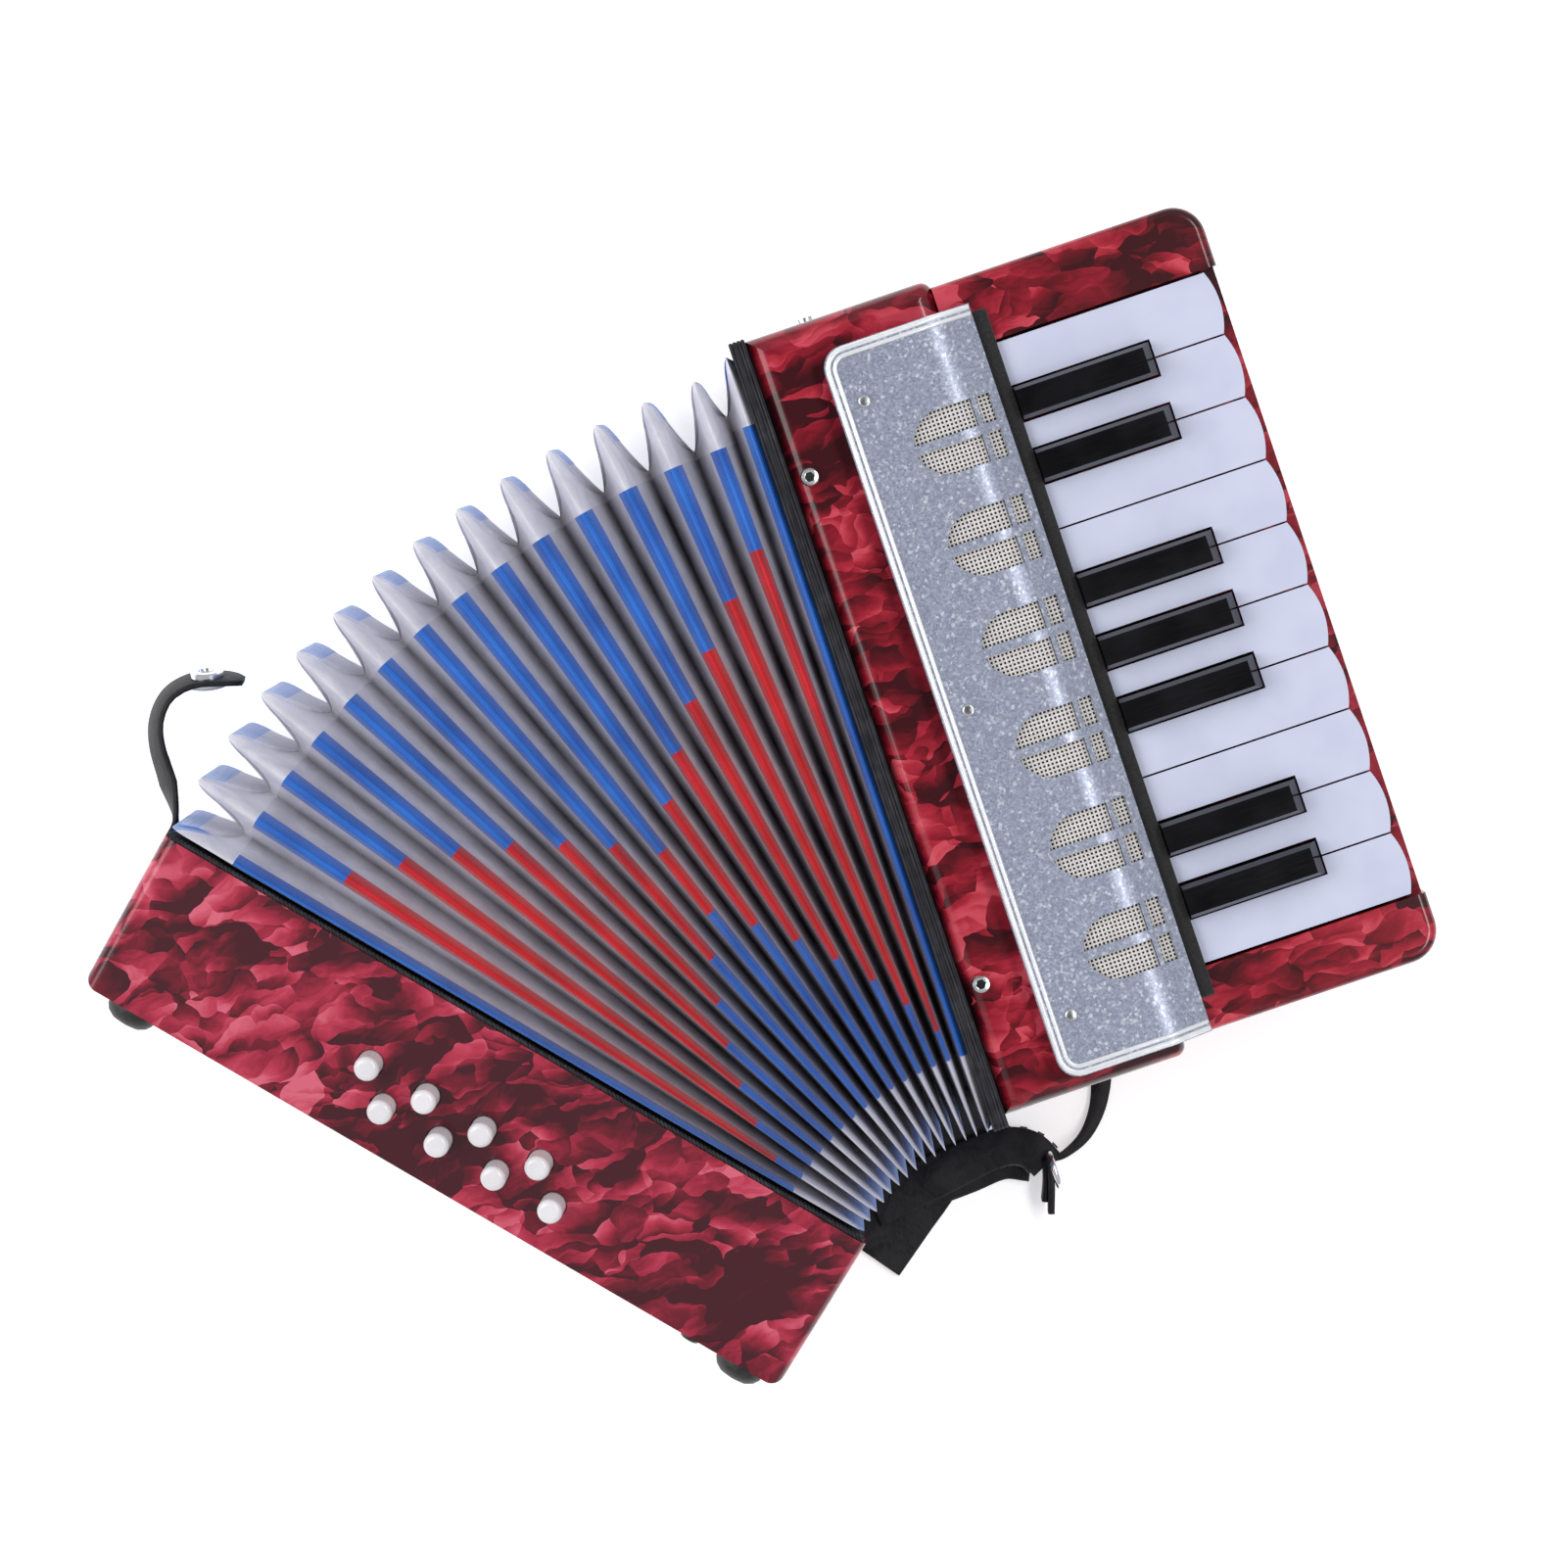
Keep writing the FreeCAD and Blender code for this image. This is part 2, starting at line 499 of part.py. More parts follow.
def bass_casing():
    """The bass box: a shell open to the bellows, with holes for the buttons and the air button."""
    half = BASS_L / 2
    points = [(x, -half, z) for x, z in bass_outline(0)]
    shell = prism(points, Vector(0, BASS_L, 0))
    ends = [e for e in shell.Edges if abs(abs(e.BoundBox.YMin) - half) < 1e-6
            and abs(e.BoundBox.YMax - e.BoundBox.YMin) < 1e-6 and e.BoundBox.ZMax > BOX_BACK + 1
            and e.BoundBox.XMin < BASS_FACE - 1]
    shell = shell.makeFillet(4.0, ends)
    cavity = prism([(x, -half + WALL, z) for x, z in bass_outline(WALL)], Vector(0, BASS_L - 2 * WALL, 0))
    shell = shell.cut(cavity)
    for place in button_places():
        start = place - SLOPE_NORMAL * 8
        shell = shell.cut(Part.makeCylinder(BUTTON_R + 0.35, 16, start, SLOPE_NORMAL))
    return shell.cut(rod(AIR_R + 0.3, 12, (BASS_OUT - 4, AIR_Y, AIR_Z), X_AXIS))


def bass_back_cover():
    """The bass side's back panel, let in between the walls."""
    half = BASS_L / 2 - WALL - 0.2
    return box(BASS_OUT + WALL + 0.2, BASS_FACE, -half, half, BOX_BACK, BOX_BACK + COVER)


def bass_bellows_frame():
    """The frame at the bass end of the bellows: the last half fold, fixed to the bass box."""
    x_mid = BASS_FACE + BASS_FRAME_T / 2
    return ring_frame(x_mid, BASS_FRAME_T, FOLD_DEPTH, FOLD_BOTTOM, FOLD_TOP - 1, FOLD_BACK, FOLD_FRONT)


def bass_small_fittings():
    """Four rubber feet on the outer side, and the screwed-down tab that the bellows strap starts from."""
    dome_r = (FOOT_R ** 2 + FOOT_OUT ** 2) / (2 * FOOT_OUT)
    feet = []
    for y in (-98.3, 95.2):
        for z in (20.0, 58.0):
            ball = Part.makeSphere(dome_r, Vector(BASS_OUT - FOOT_OUT + dome_r, y, z))
            feet.append(ball.common(box(BASS_OUT - 20, BASS_OUT, y - 20, y + 20, z - 20, z + 20)))
    x0, y0 = STRAP_ROOT
    tab = box(x0 - 13, x0 - 0.9, y0 - 0.3, y0 + CLOSER_T, CLOSER_Z, CLOSER_Z + CLOSER_W)
    screw = screw_head(2.2, 1.1, (x0 - 6, y0 + CLOSER_T, CLOSER_Z + CLOSER_W / 2), Y_AXIS)
    return group(feet + [tab, screw])


def bass_action_board():
    """The board under the front that guides the button stems, and the bass reed block below it."""
    half = BASS_L / 2 - WALL - 0.2
    top = [on_slope(7.0, -half) - SLOPE_NORMAL * ACTION_DEPTH, on_slope(43.5, -half) - SLOPE_NORMAL * ACTION_DEPTH]
    corners = [top[0], top[1], top[1] - SLOPE_NORMAL * 3, top[0] - SLOPE_NORMAL * 3]
    board = prism([(c.x, c.y, c.z) for c in corners], Vector(0, 2 * half, 0))
    for place in button_places():
        board = board.cut(Part.makeCylinder(STEM_R + 0.25, 12, place - SLOPE_NORMAL * 24, SLOPE_NORMAL))
    reeds = reed_block(BASS_FACE - 36, BASS_FACE - 8, -60, 60, 16, 40, [-45 + 15 * n for n in range(7)], 4.5)
    return group([board] + reeds.Solids)


def bass_button(place):
    """A bass button: a round-nosed cap, a flange that stops it under the front, and a guided stem."""
    cap = Part.makeCylinder(BUTTON_R, BUTTON_OUT + WALL + 0.4, Vector(0, 0, -WALL - 0.4))
    cap = cap.makeFillet(1.6, [e for e in cap.Edges if abs(e.BoundBox.ZMin - BUTTON_OUT) < 1e-6])
    flange = Part.makeCylinder(FLANGE_R, 1.6, Vector(0, 0, -WALL - 2.0))
    stem = Part.makeCylinder(STEM_R, 16.5, Vector(0, 0, -WALL - 18.0))
    button = fused(cap, flange, stem)
    button.Placement = FreeCAD.Placement(place, FreeCAD.Rotation(Z_AXIS, SLOPE_NORMAL))
    return button


def wave_spring(radius, wave, thick, height, waves):
    """A stack of sprung waves, standing on the origin: a zigzag wall turned about its own axis."""
    step = height / (2 * waves)
    inner = [(radius + (wave if n % 2 else 0), n * step) for n in range(2 * waves + 1)]
    outline = inner + [(r + thick, z) for r, z in reversed(inner)]
    face = Part.Face(Part.makePolygon([Vector(r, 0, z) for r, z in outline + outline[:1]]))
    return face.revolve(Vector(0, 0, 0), Z_AXIS, 360)


def bass_springs():
    """One spring under each button's flange, standing on the action board."""
    springs = []
    low = ACTION_DEPTH
    high = WALL + 2.0
    for place in button_places():
        spring = wave_spring(2.2, 1.1, 0.4, low - high - 1.0, 4)
        seat = place - SLOPE_NORMAL * (low - 0.5)
        spring.Placement = FreeCAD.Placement(seat, FreeCAD.Rotation(Z_AXIS, SLOPE_NORMAL))
        springs.append(spring)
    return group(springs)


def air_button():
    """The push button that lets the air out, with its stem and the pad that seals inside."""
    cap = rod(AIR_R, AIR_OUT + WALL, (BASS_OUT - AIR_OUT, AIR_Y, AIR_Z), X_AXIS)
    cap = cap.makeFillet(1.2, [e for e in cap.Edges if abs(e.BoundBox.XMax - BASS_OUT + AIR_OUT) < 1e-6])
    pad = rod(AIR_R + 2.5, 1.6, (BASS_OUT + WALL + 0.2, AIR_Y, AIR_Z), X_AXIS)
    neck = rod(AIR_R - 1, 1.0, (BASS_OUT + WALL - 0.4, AIR_Y, AIR_Z), X_AXIS)
    return fused(cap, neck, pad)


def wrist_strap():
    """The hand strap on the bass side's back, flat under the weight, with its two end plates."""
    mid = (BASS_FACE + BASS_OUT) / 2
    x0, x1 = mid - WRIST_W / 2, mid + WRIST_W / 2
    high, flat, reach = BOX_BACK - WRIST_T, 74.0, 97.0
    line = [(-reach, high), (-reach + 14, high), (-flat, 0), (flat, 0), (reach - 14, high), (reach, high)]
    outline = [(x0, y, z) for y, z in line] + [(x0, y, z + WRIST_T) for y, z in reversed(line)]
    band = prism(outline, Vector(WRIST_W, 0, 0))
    plates = [box(x0 + 2, x1 - 2, side * 91 - 4, side * 91 + 4, high - 1.2, high) for side in (-1, 1)]
    screws = [screw_head(1.8, 1.0, (mid + off, side * 91, high - 1.2), -Z_AXIS)
              for side in (-1, 1) for off in (-7, 7)]
    return group([band] + plates + screws)


def bellows_strap():
    """The leather strap that keeps the bellows shut: it arches up from its tab and ends in a press stud."""
    x0, y0 = STRAP_ROOT
    inner = [(0, 0.3), (4.5, 2.6), (13, 14.5), (22, 22), (31, 23), (40, 15), (46.5, 9)]
    knots = [Vector(x0 + dx, y0 + dy, CLOSER_Z) for dx, dy in inner]
    curve = Part.BSplineCurve()
    curve.interpolate(knots)
    offsets = []
    for knot in knots:
        tangent = curve.tangent(curve.parameter(knot))[0]
        offsets.append(knot + Vector(-tangent.y, tangent.x, 0).normalize() * CLOSER_T)
    outer = Part.BSplineCurve()
    outer.interpolate(offsets)
    ends = [Part.LineSegment(knots[-1], offsets[-1]), Part.LineSegment(offsets[0], knots[0])]
    outline = Part.Wire([curve.toShape(), ends[0].toShape(), outer.toShape(), ends[1].toShape()])
    band = Part.Face(outline).extrude(Vector(0, 0, CLOSER_W))
    along = (knots[-1] - knots[-2]).normalize()
    out = Vector(-along.y, along.x, 0)
    middle = (knots[-1] + knots[-2]) * 0.5 + Vector(0, 0, CLOSER_W / 2)
    cap = Part.makeCylinder(SNAP_R, 1.3, middle + out * (CLOSER_T + 0.1), out)
    socket = Part.makeCylinder(SNAP_R - 1.5, 1.6, middle - out * 0.1, out * -1)
    return group([band, cap, socket])


# ---- Everything, in its place ----

def put(name, shape):
    """Keeps a shape under its node's name, moved to the row frame."""
    moved = shape.copy()
    moved.translate(Vector(TREBLE_X, TREBLE_Y, 0))
    parts[name] = moved


def build_treble():
    """All pieces of the fixed treble side."""
    put("treble_casing", treble_casing())
    put("treble_back_cover", treble_back_cover())
    put("keyboard_bed", keyboard_bed())
    put("grille", grille())
    put("grille_gauze_and_felt", gauze_and_felt())
    put("key_axle_and_springs", key_axle_and_springs())
    put("sound_board", sound_board())
    put("treble_reed_block", reed_block(6, 32, -95, 95, 24, BOARD_TOP - BOARD_T, arm_positions(), 3.4))
    put("treble_bellows_frame", treble_bellows_frame())
    put("treble_fasteners", treble_fasteners())
    put("strap_hardware", strap_hardware())
    put("shoulder_strap", shoulder_strap())
    for kind, index, y in key_notes():
        shape = white_key(index, y) if kind == "white" else black_key(index, y)
        put(f"{kind}_key_{index + 1:02d}", shape)


def fold_outline(x, hinges, inset):
    """The rectangle that the bellows' cloth follows at one plane of the open fan."""
    low, high = FOLD_BOTTOM + inset, FOLD_TOP - inset
    back, front = FOLD_BACK + inset, FOLD_FRONT - inset
    corners = [Vector(x, low, back), Vector(x, high, back), Vector(x, high, front), Vector(x, low, front)]
    wire = Part.makePolygon(corners + corners[:1])
    return fanned(wire, hinges)


def pleat_lining(gap):
    """The cloth in one gap between folds: it runs in to a valley half-way and out again."""
    def tube(inset):
        hinge = hinge_x(gap)
        slack = PITCH / 2 - FOLD_T / 2
        valley = fanned(Part.Wire(fold_outline(hinge, 0, FOLD_DEPTH + inset).Edges), gap)
        middle = Vector(hinge, HINGE_Y, 0)
        for index in range(gap - 1, -1, -1):
            pivot = Vector(hinge_x(index), HINGE_Y, 0)
            middle = pivot + FreeCAD.Rotation(Z_AXIS, hinge_angle(index)).multVec(middle - pivot)
        valley.rotate(middle, Z_AXIS, hinge_angle(gap) / 2)
        first = fold_outline(hinge + slack, gap, 1.0 + inset)
        last = fold_outline(hinge - slack, gap + 1, 1.0 + inset)
        return Part.makeLoft([first, valley, last], True, True)
    return tube(0).cut(tube(LINING_T))


def bellows_lining():
    """The folded cloth between all the folds, one pleat for each gap."""
    return group([pleat_lining(gap) for gap in range(FOLDS + 1)])


def build_bellows():
    """The thirteen moving folds, each carried to its place in the open fan, and the cloth between them."""
    put("bellows_lining", bellows_lining())
    for number in range(1, FOLDS + 1):
        x_mid = -FRAME_T - PITCH * (number + 0.5)
        fold = ring_frame(x_mid, FOLD_T, FOLD_DEPTH, FOLD_BOTTOM, FOLD_TOP, FOLD_BACK, FOLD_FRONT)
        put(f"fold_{number:02d}", fanned(fold, number))


def build_bass():
    """All pieces of the bass side, carried to the end of the open fan."""
    pieces = {"bass_casing": bass_casing(), "bass_back_cover": bass_back_cover(),
              "bass_small_fittings": bass_small_fittings(),
              "bass_action_board": bass_action_board(), "bass_springs": bass_springs(),
              "air_button": air_button(), "wrist_strap": wrist_strap(), "bellows_strap": bellows_strap()}
    for number, place in enumerate(button_places(), 1):
        pieces[f"bass_button_{number}"] = bass_button(place)
    for name, shape in pieces.items():
        shape.translate(Vector(0, -BASS_DROP, 0))
        put(name, fanned(shape, FOLDS + 1))
    put("bass_bellows_frame", fanned(bass_bellows_frame(), FOLDS + 1))


def main():
    """Builds every node, checks it and writes one STEP file for each."""
    build_treble()
    build_bellows()
    build_bass()
    os.makedirs("parts", exist_ok=True)
    low = [min(getattr(s.BoundBox, side) for s in parts.values()) for side in ("XMin", "YMin", "ZMin")]
    high = [max(getattr(s.BoundBox, side) for s in parts.values()) for side in ("XMax", "YMax", "ZMax")]
    for name, shape in parts.items():
        if not all(s.isValid() and s.isClosed() and s.Volume > 0 for s in shape.Solids) or not shape.Solids:
            print("not a good solid:", name)
        shape.exportStep(f"parts/{name}.step")
    print(len(parts), "nodes; middle of the outline at",
          [round((a + b) / 2, 2) for a, b in zip(low, high)][:2], "lowest", round(low[2], 3))


main()
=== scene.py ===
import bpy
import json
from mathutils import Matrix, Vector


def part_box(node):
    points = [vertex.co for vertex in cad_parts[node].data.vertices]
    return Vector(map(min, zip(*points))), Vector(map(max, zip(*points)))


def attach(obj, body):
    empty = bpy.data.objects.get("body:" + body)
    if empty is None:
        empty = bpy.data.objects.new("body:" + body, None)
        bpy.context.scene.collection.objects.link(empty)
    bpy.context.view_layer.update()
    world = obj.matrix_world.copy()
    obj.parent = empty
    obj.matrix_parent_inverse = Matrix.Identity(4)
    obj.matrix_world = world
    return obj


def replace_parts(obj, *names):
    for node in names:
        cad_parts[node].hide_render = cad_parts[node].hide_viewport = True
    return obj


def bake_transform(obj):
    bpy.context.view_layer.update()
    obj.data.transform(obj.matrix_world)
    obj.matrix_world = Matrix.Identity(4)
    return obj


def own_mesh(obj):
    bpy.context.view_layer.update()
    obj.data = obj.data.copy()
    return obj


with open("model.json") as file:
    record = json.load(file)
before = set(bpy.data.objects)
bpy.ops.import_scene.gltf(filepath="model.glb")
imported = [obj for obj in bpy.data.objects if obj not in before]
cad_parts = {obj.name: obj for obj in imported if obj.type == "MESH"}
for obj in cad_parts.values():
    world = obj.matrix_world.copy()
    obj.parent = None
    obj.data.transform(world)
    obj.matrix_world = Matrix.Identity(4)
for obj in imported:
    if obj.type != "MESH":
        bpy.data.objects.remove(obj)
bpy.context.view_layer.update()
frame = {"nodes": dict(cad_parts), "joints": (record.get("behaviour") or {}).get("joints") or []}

# The looks of a child's piano accordion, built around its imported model. Everything is in metres, in the
# model's own frame: the instrument lies on its back, +Z comes out of the playing side, +Y runs to the open
# end of the bellows and +X runs from the bass side to the keyboard.

import json
import math

import bpy
from mathutils import Matrix, Vector

MM = 0.001
UP = Vector((0, 0, 1))
nodes = frame["nodes"]
joints = {joint["name"]: joint for joint in frame["joints"]}
FOLDS = sum(name.startswith("fold_") for name in nodes)
bellows_joints = [joints[f"bellows_{number:02d}"] for number in range(1, FOLDS + 2)]


# ---- Node trees ----

class Shader:
    """A material's node tree, with short ways to add and join nodes."""

    def __init__(self, name):
        self.material = bpy.data.materials.new(name)
        self.material.use_nodes = True
        self.tree = self.material.node_tree
        self.surface = self.tree.nodes["Principled BSDF"]

    def add(self, kind, inputs=None, **settings):
        """A new node: settings are its properties, inputs are values or other nodes' outputs by name."""
        node = self.tree.nodes.new(kind)
        for key, value in settings.items():
            setattr(node, key, value)
        for key, value in (inputs or {}).items():
            self.feed(node.inputs[key], value)
        return node

    def feed(self, socket, value):
        """Joins an output to a socket, or sets the socket's own value."""
        if isinstance(value, bpy.types.NodeSocket):
            self.tree.links.new(value, socket)
        else:
            socket.default_value = value

    def set(self, **values):
        """Sets the surface shader's sockets; an underscore stands for a space."""
        for key, value in values.items():
            self.feed(self.surface.inputs[key.replace("_", " ")], value)

    def coords(self, kind="Object"):
        """Texture coordinates fixed to the piece."""
        return self.add("ShaderNodeTexCoord").outputs[kind]

    def stretched(self, vector, scale, turn=(0, 0, 0)):
        """The coordinates scaled along each axis, after a turn."""
        inputs = {"Vector": vector, "Scale": scale, "Rotation": turn}
        return self.add("ShaderNodeMapping", inputs).outputs["Vector"]

    def noise(self, vector, scale, detail=3.0, rough=0.5, warp=0.0, out="Fac"):
        """Fractal noise."""
        node = self.add("ShaderNodeTexNoise", {"Vector": vector, "Scale": scale, "Detail": detail,
                "Roughness": rough, "Distortion": warp})
        return node.outputs[out]

    def cells(self, vector, scale, feature="F1"):
        """Voronoi cells' outputs."""
        inputs = {"Vector": vector, "Scale": scale, "Randomness": 1.0}
        return self.add("ShaderNodeTexVoronoi", inputs, feature=feature).outputs

    def ramp(self, value, stops, smooth=False):
        """A colour ramp: stops are (position, colour or grey)."""
        node = self.add("ShaderNodeValToRGB", {"Fac": value})
        node.color_ramp.interpolation = "EASE" if smooth else "LINEAR"
        elements = node.color_ramp.elements
        while len(elements) < len(stops):
            elements.new(0.5)
        for element, (position, colour) in zip(elements, stops):
            element.position = position
            element.color = (colour, colour, colour, 1) if isinstance(colour, float) else (*colour, 1)
        return node.outputs["Color"]

    def math(self, operation, a, b=0.0):
        """One sum."""
        node = self.add("ShaderNodeMath", operation=operation)
        self.feed(node.inputs[0], a)
        self.feed(node.inputs[1], b)
        return node.outputs[0]

    def vectors(self, operation, a, b):
        """One sum on two vectors."""
        node = self.add("ShaderNodeVectorMath", {0: a, 1: b}, operation=operation)
        return node.outputs["Value" if operation == "DOT_PRODUCT" else "Vector"]

    def mix(self, share, a, b):
        """Two colours mixed."""
        node = self.add("ShaderNodeMix", data_type="RGBA")
        self.feed(node.inputs["Factor"], share)
        self.feed(node.inputs["A"], a if isinstance(a, bpy.types.NodeSocket) else (*a, 1))
        self.feed(node.inputs["B"], b if isinstance(b, bpy.types.NodeSocket) else (*b, 1))
        return node.outputs["Result"]

    def bump(self, height, strength, distance, below=None):
        """Surface relief, on top of another relief if one is given."""
        inputs = {"Height": height, "Strength": strength, "Distance": distance}
        if below is not None:
            inputs["Normal"] = below
        return self.add("ShaderNodeBump", inputs).outputs["Normal"]


PEARL_WARP = (0.017, 0.017, 0.017)
CLOUD_SHARE, SILK_SHARE = 0.75, 0.35
FLAKE_LAYERS = ((40.0, (0.1, 0.2, 0.5)), (85.0, (0.3, 0.1, -0.9)))
FLAKE_STRETCH, FLAKE_FOLD = (1.0, 2.1, 1.4), 0.62
PEARL_STOPS = (0.33, 0.46, 0.56, 0.67, 0.82)
FINE_GLITTER, COARSE_GLITTER = 1900.0, 1300.0


def pearl_red(name, tones, seed):
    """Celluloid with crumpled, pearly folds under a clear gloss."""
    s = Shader(name)
    start = s.vectors("ADD", s.coords(), (seed, 0.3, 0.1))
    bend = s.noise(start, 42.0, 3.0, 0.55, out="Color")
    moved = s.vectors("ADD", start, s.vectors("MULTIPLY", bend, PEARL_WARP))
    cloud = s.noise(moved, 17.0, 3.0, 0.5, 0.3)
    silk = s.noise(s.stretched(moved, (1.0, 2.6, 1.5), (0.2, 0.3, 0.7)), 120.0, 4.0, 0.6, 0.8)
    tone = s.math("ADD", s.math("MULTIPLY", cloud, CLOUD_SHARE), s.math("MULTIPLY", silk, SILK_SHARE))
    for scale, turn in FLAKE_LAYERS:
        flakes = s.stretched(moved, FLAKE_STRETCH, turn)
        cell = s.cells(flakes, scale)
        away = s.vectors("SUBTRACT", flakes, cell["Position"])
        slant = s.vectors("SUBTRACT", cell["Color"], (0.5, 0.5, 0.5))
        fold = s.vectors("DOT_PRODUCT", away, slant)
        tone = s.math("ADD", tone, s.math("MULTIPLY", fold, FLAKE_FOLD * scale))
    colour = s.ramp(tone, list(zip(PEARL_STOPS, tones)))
    s.set(Base_Color=colour, Roughness=0.30, Metallic=0.0, Specular_IOR_Level=0.25,
          Coat_Weight=0.5, Coat_Roughness=0.05, Normal=s.bump(tone, 0.10, 0.0006))
    return s.material


def glitter_silver():
    """Fine silver glitter set in clear lacquer."""
    s = Shader("glitter_silver")
    place = s.coords()
    fine = s.add("ShaderNodeSeparateColor", {"Color": s.cells(place, FINE_GLITTER)["Color"]})
    coarse = s.add("ShaderNodeSeparateColor", {"Color": s.cells(place, COARSE_GLITTER)["Color"]})
    base = s.ramp(fine.outputs["Red"], [(0.0, (0.23, 0.255, 0.345)), (0.6, (0.31, 0.34, 0.435)),
            (1.0, (0.395, 0.43, 0.535))])
    spark = s.ramp(coarse.outputs["Green"], [(0.86, 0.0), (0.97, 0.55)])
    colour = s.mix(spark, base, (0.78, 0.82, 0.90))
    rough = s.ramp(fine.outputs["Blue"], [(0.0, 0.34), (1.0, 0.44)])
    s.set(Base_Color=colour, Metallic=0.45, Roughness=rough, Coat_Weight=0.5, Coat_Roughness=0.28,
          Normal=s.bump(fine.outputs["Red"], 0.08, 0.0001))
    return s.material


def polished_border():
    """The grille's smooth rolled edge."""
    s = Shader("polished_border")
    haze = s.noise(s.coords(), 300.0, 3.0)
    s.set(Base_Color=s.ramp(haze, [(0.3, (0.84, 0.86, 0.89)), (0.7, (0.93, 0.94, 0.96))]), Metallic=0.35,
          Roughness=s.ramp(haze, [(0.3, 0.16), (0.7, 0.27)]), Normal=s.bump(haze, 0.08, 0.0003))
    return s.material


def gloss_plastic(name, low, high, rough=0.16, coat=0.5, grain=70.0, shine=0.5, shaded_flanks=None):
    """Moulded plastic with a faint unevenness and fine scratches; the flanks colour, if given, is painted
    shade on its Y sides.
    """
    s = Shader(name)
    place = s.coords()
    cloud = s.noise(place, grain, 2.0)
    scratch = s.noise(s.stretched(place, (30.0, 900.0, 400.0)), 4.0, 2.0)
    colour = s.ramp(cloud, [(0.35, low), (0.65, high)])
    if shaded_flanks:
        # Painted shade: faces turned along Y take the dark flank colour, standing in for the shade in the
        # gaps between keys.
        normal = s.add("ShaderNodeNewGeometry").outputs["Normal"]
        facing = s.add("ShaderNodeSeparateXYZ", {"Vector": normal})
        side = s.ramp(s.math("ABSOLUTE", facing.outputs["Y"]), [(0.80, 0.0), (0.97, 1.0)])
        colour = s.mix(side, colour, shaded_flanks)
    s.set(Base_Color=colour,
          Roughness=s.ramp(scratch, [(0.35, rough), (0.75, rough + 0.10)]),
          Coat_Weight=coat, Coat_Roughness=0.05, Specular_IOR_Level=shine,
          Normal=s.bump(cloud, 0.05, 0.0006))
    return s.material


def ribbed_cloth(name, dark, bright):
    """Woven tape with fine ribs along it. UV V runs across the tape, in millimetres."""
    s = Shader(name)
    uv = s.coords("UV")
    across = s.add("ShaderNodeSeparateXYZ", {"Vector": uv})
    ribs = s.math("SINE", s.math("MULTIPLY", across.outputs["Y"], 7.6))
    picks = s.math("SINE", s.math("MULTIPLY", across.outputs["X"], 11.0))
    weave = s.math("ADD", s.math("MULTIPLY", ribs, 0.7), s.math("MULTIPLY", picks, 0.3))
    wear = s.noise(s.coords(), 60.0, 3.0)
    tone = s.math("ADD", s.math("MULTIPLY", weave, 0.22), wear)
    s.set(Base_Color=s.ramp(tone, [(0.25, dark), (0.80, bright)]), Roughness=0.5,
          Sheen_Weight=0.25, Sheen_Roughness=0.4, Normal=s.bump(weave, 0.45, 0.00012))
    return s.material


def leatherette(name, low, high, inner, rough=0.42):
    """Thin coated cloth with a fine grain and soft creases, with painted shade in the inner colour deep
    inside the folds.
    """
    s = Shader(name)
    place = s.coords()
    grain = s.cells(place, 1400.0)["Distance"]
    crease = s.noise(place, 90.0, 4.0, 0.6, 1.0)
    # Painted shade: the deep attribute, broken up by noise, mixes the inner colour in deep inside the
    # folds.
    deep = s.add("ShaderNodeAttribute", attribute_name="deep").outputs["Fac"]
    painted_shade_share = s.math("MULTIPLY", deep, s.math("ADD", s.noise(place, 55.0, 3.0), 0.45))
    colour = s.ramp(crease, [(0.35, low), (0.62, high)])
    s.set(Base_Color=s.mix(painted_shade_share, colour, inner), Roughness=rough,
          Normal=s.bump(crease, 0.30, 0.0012, s.bump(grain, 0.12, 0.00015)))
    return s.material


def black_leather():
    """Black grained leather, slightly grey where it is rubbed."""
    s = Shader("black_leather")
    place = s.coords()
    grain = s.cells(place, 900.0, "SMOOTH_F1")["Distance"]
    folds = s.noise(place, 120.0, 4.0, 0.6, 0.8)
    colour = s.ramp(folds, [(0.35, (0.007, 0.007, 0.008)), (0.70, (0.026, 0.026, 0.028))])
    s.set(Base_Color=colour, Roughness=s.ramp(folds, [(0.3, 0.46), (0.7, 0.60)]), Specular_IOR_Level=0.2,
          Normal=s.bump(grain, 0.35, 0.0003, s.bump(folds, 0.25, 0.0012)))
    return s.material


def book_cloth():
    """Black cloth with lengthwise threads, on the bellows frame."""
    s = Shader("book_cloth")
    place = s.coords()
    threads = s.noise(s.stretched(place, (2400.0, 120.0, 2400.0)), 1.0, 2.0)
    dust = s.noise(place, 180.0, 3.0)
    lines = s.add("ShaderNodeSeparateXYZ", {"Vector": place}).outputs["X"]
    cord = s.math("SINE", s.math("MULTIPLY", lines, 2 * math.pi / 0.00082))
    tone = s.math("ADD", s.math("MULTIPLY", threads, 0.5), s.math("MULTIPLY", dust, 0.4))
    tone = s.math("ADD", tone, s.math("MULTIPLY", cord, 0.10))
    s.set(Base_Color=s.ramp(tone, [(0.34, (0.006, 0.006, 0.008)), (0.62, (0.045, 0.045, 0.052)),
                                   (0.78, (0.13, 0.13, 0.145))]),
          Roughness=0.72, Specular_IOR_Level=0.25, Normal=s.bump(tone, 0.6, 0.0004))
    return s.material


def gauze():
    """Cream cotton thread."""
    s = Shader("gauze_thread")
    fuzz = s.noise(s.coords(), 1900.0, 3.0)
    s.set(Base_Color=s.ramp(fuzz, [(0.3, (0.55, 0.52, 0.49)), (0.7, (0.88, 0.86, 0.84))]), Roughness=0.9,
          Normal=s.bump(fuzz, 0.5, 0.0001))
    return s.material


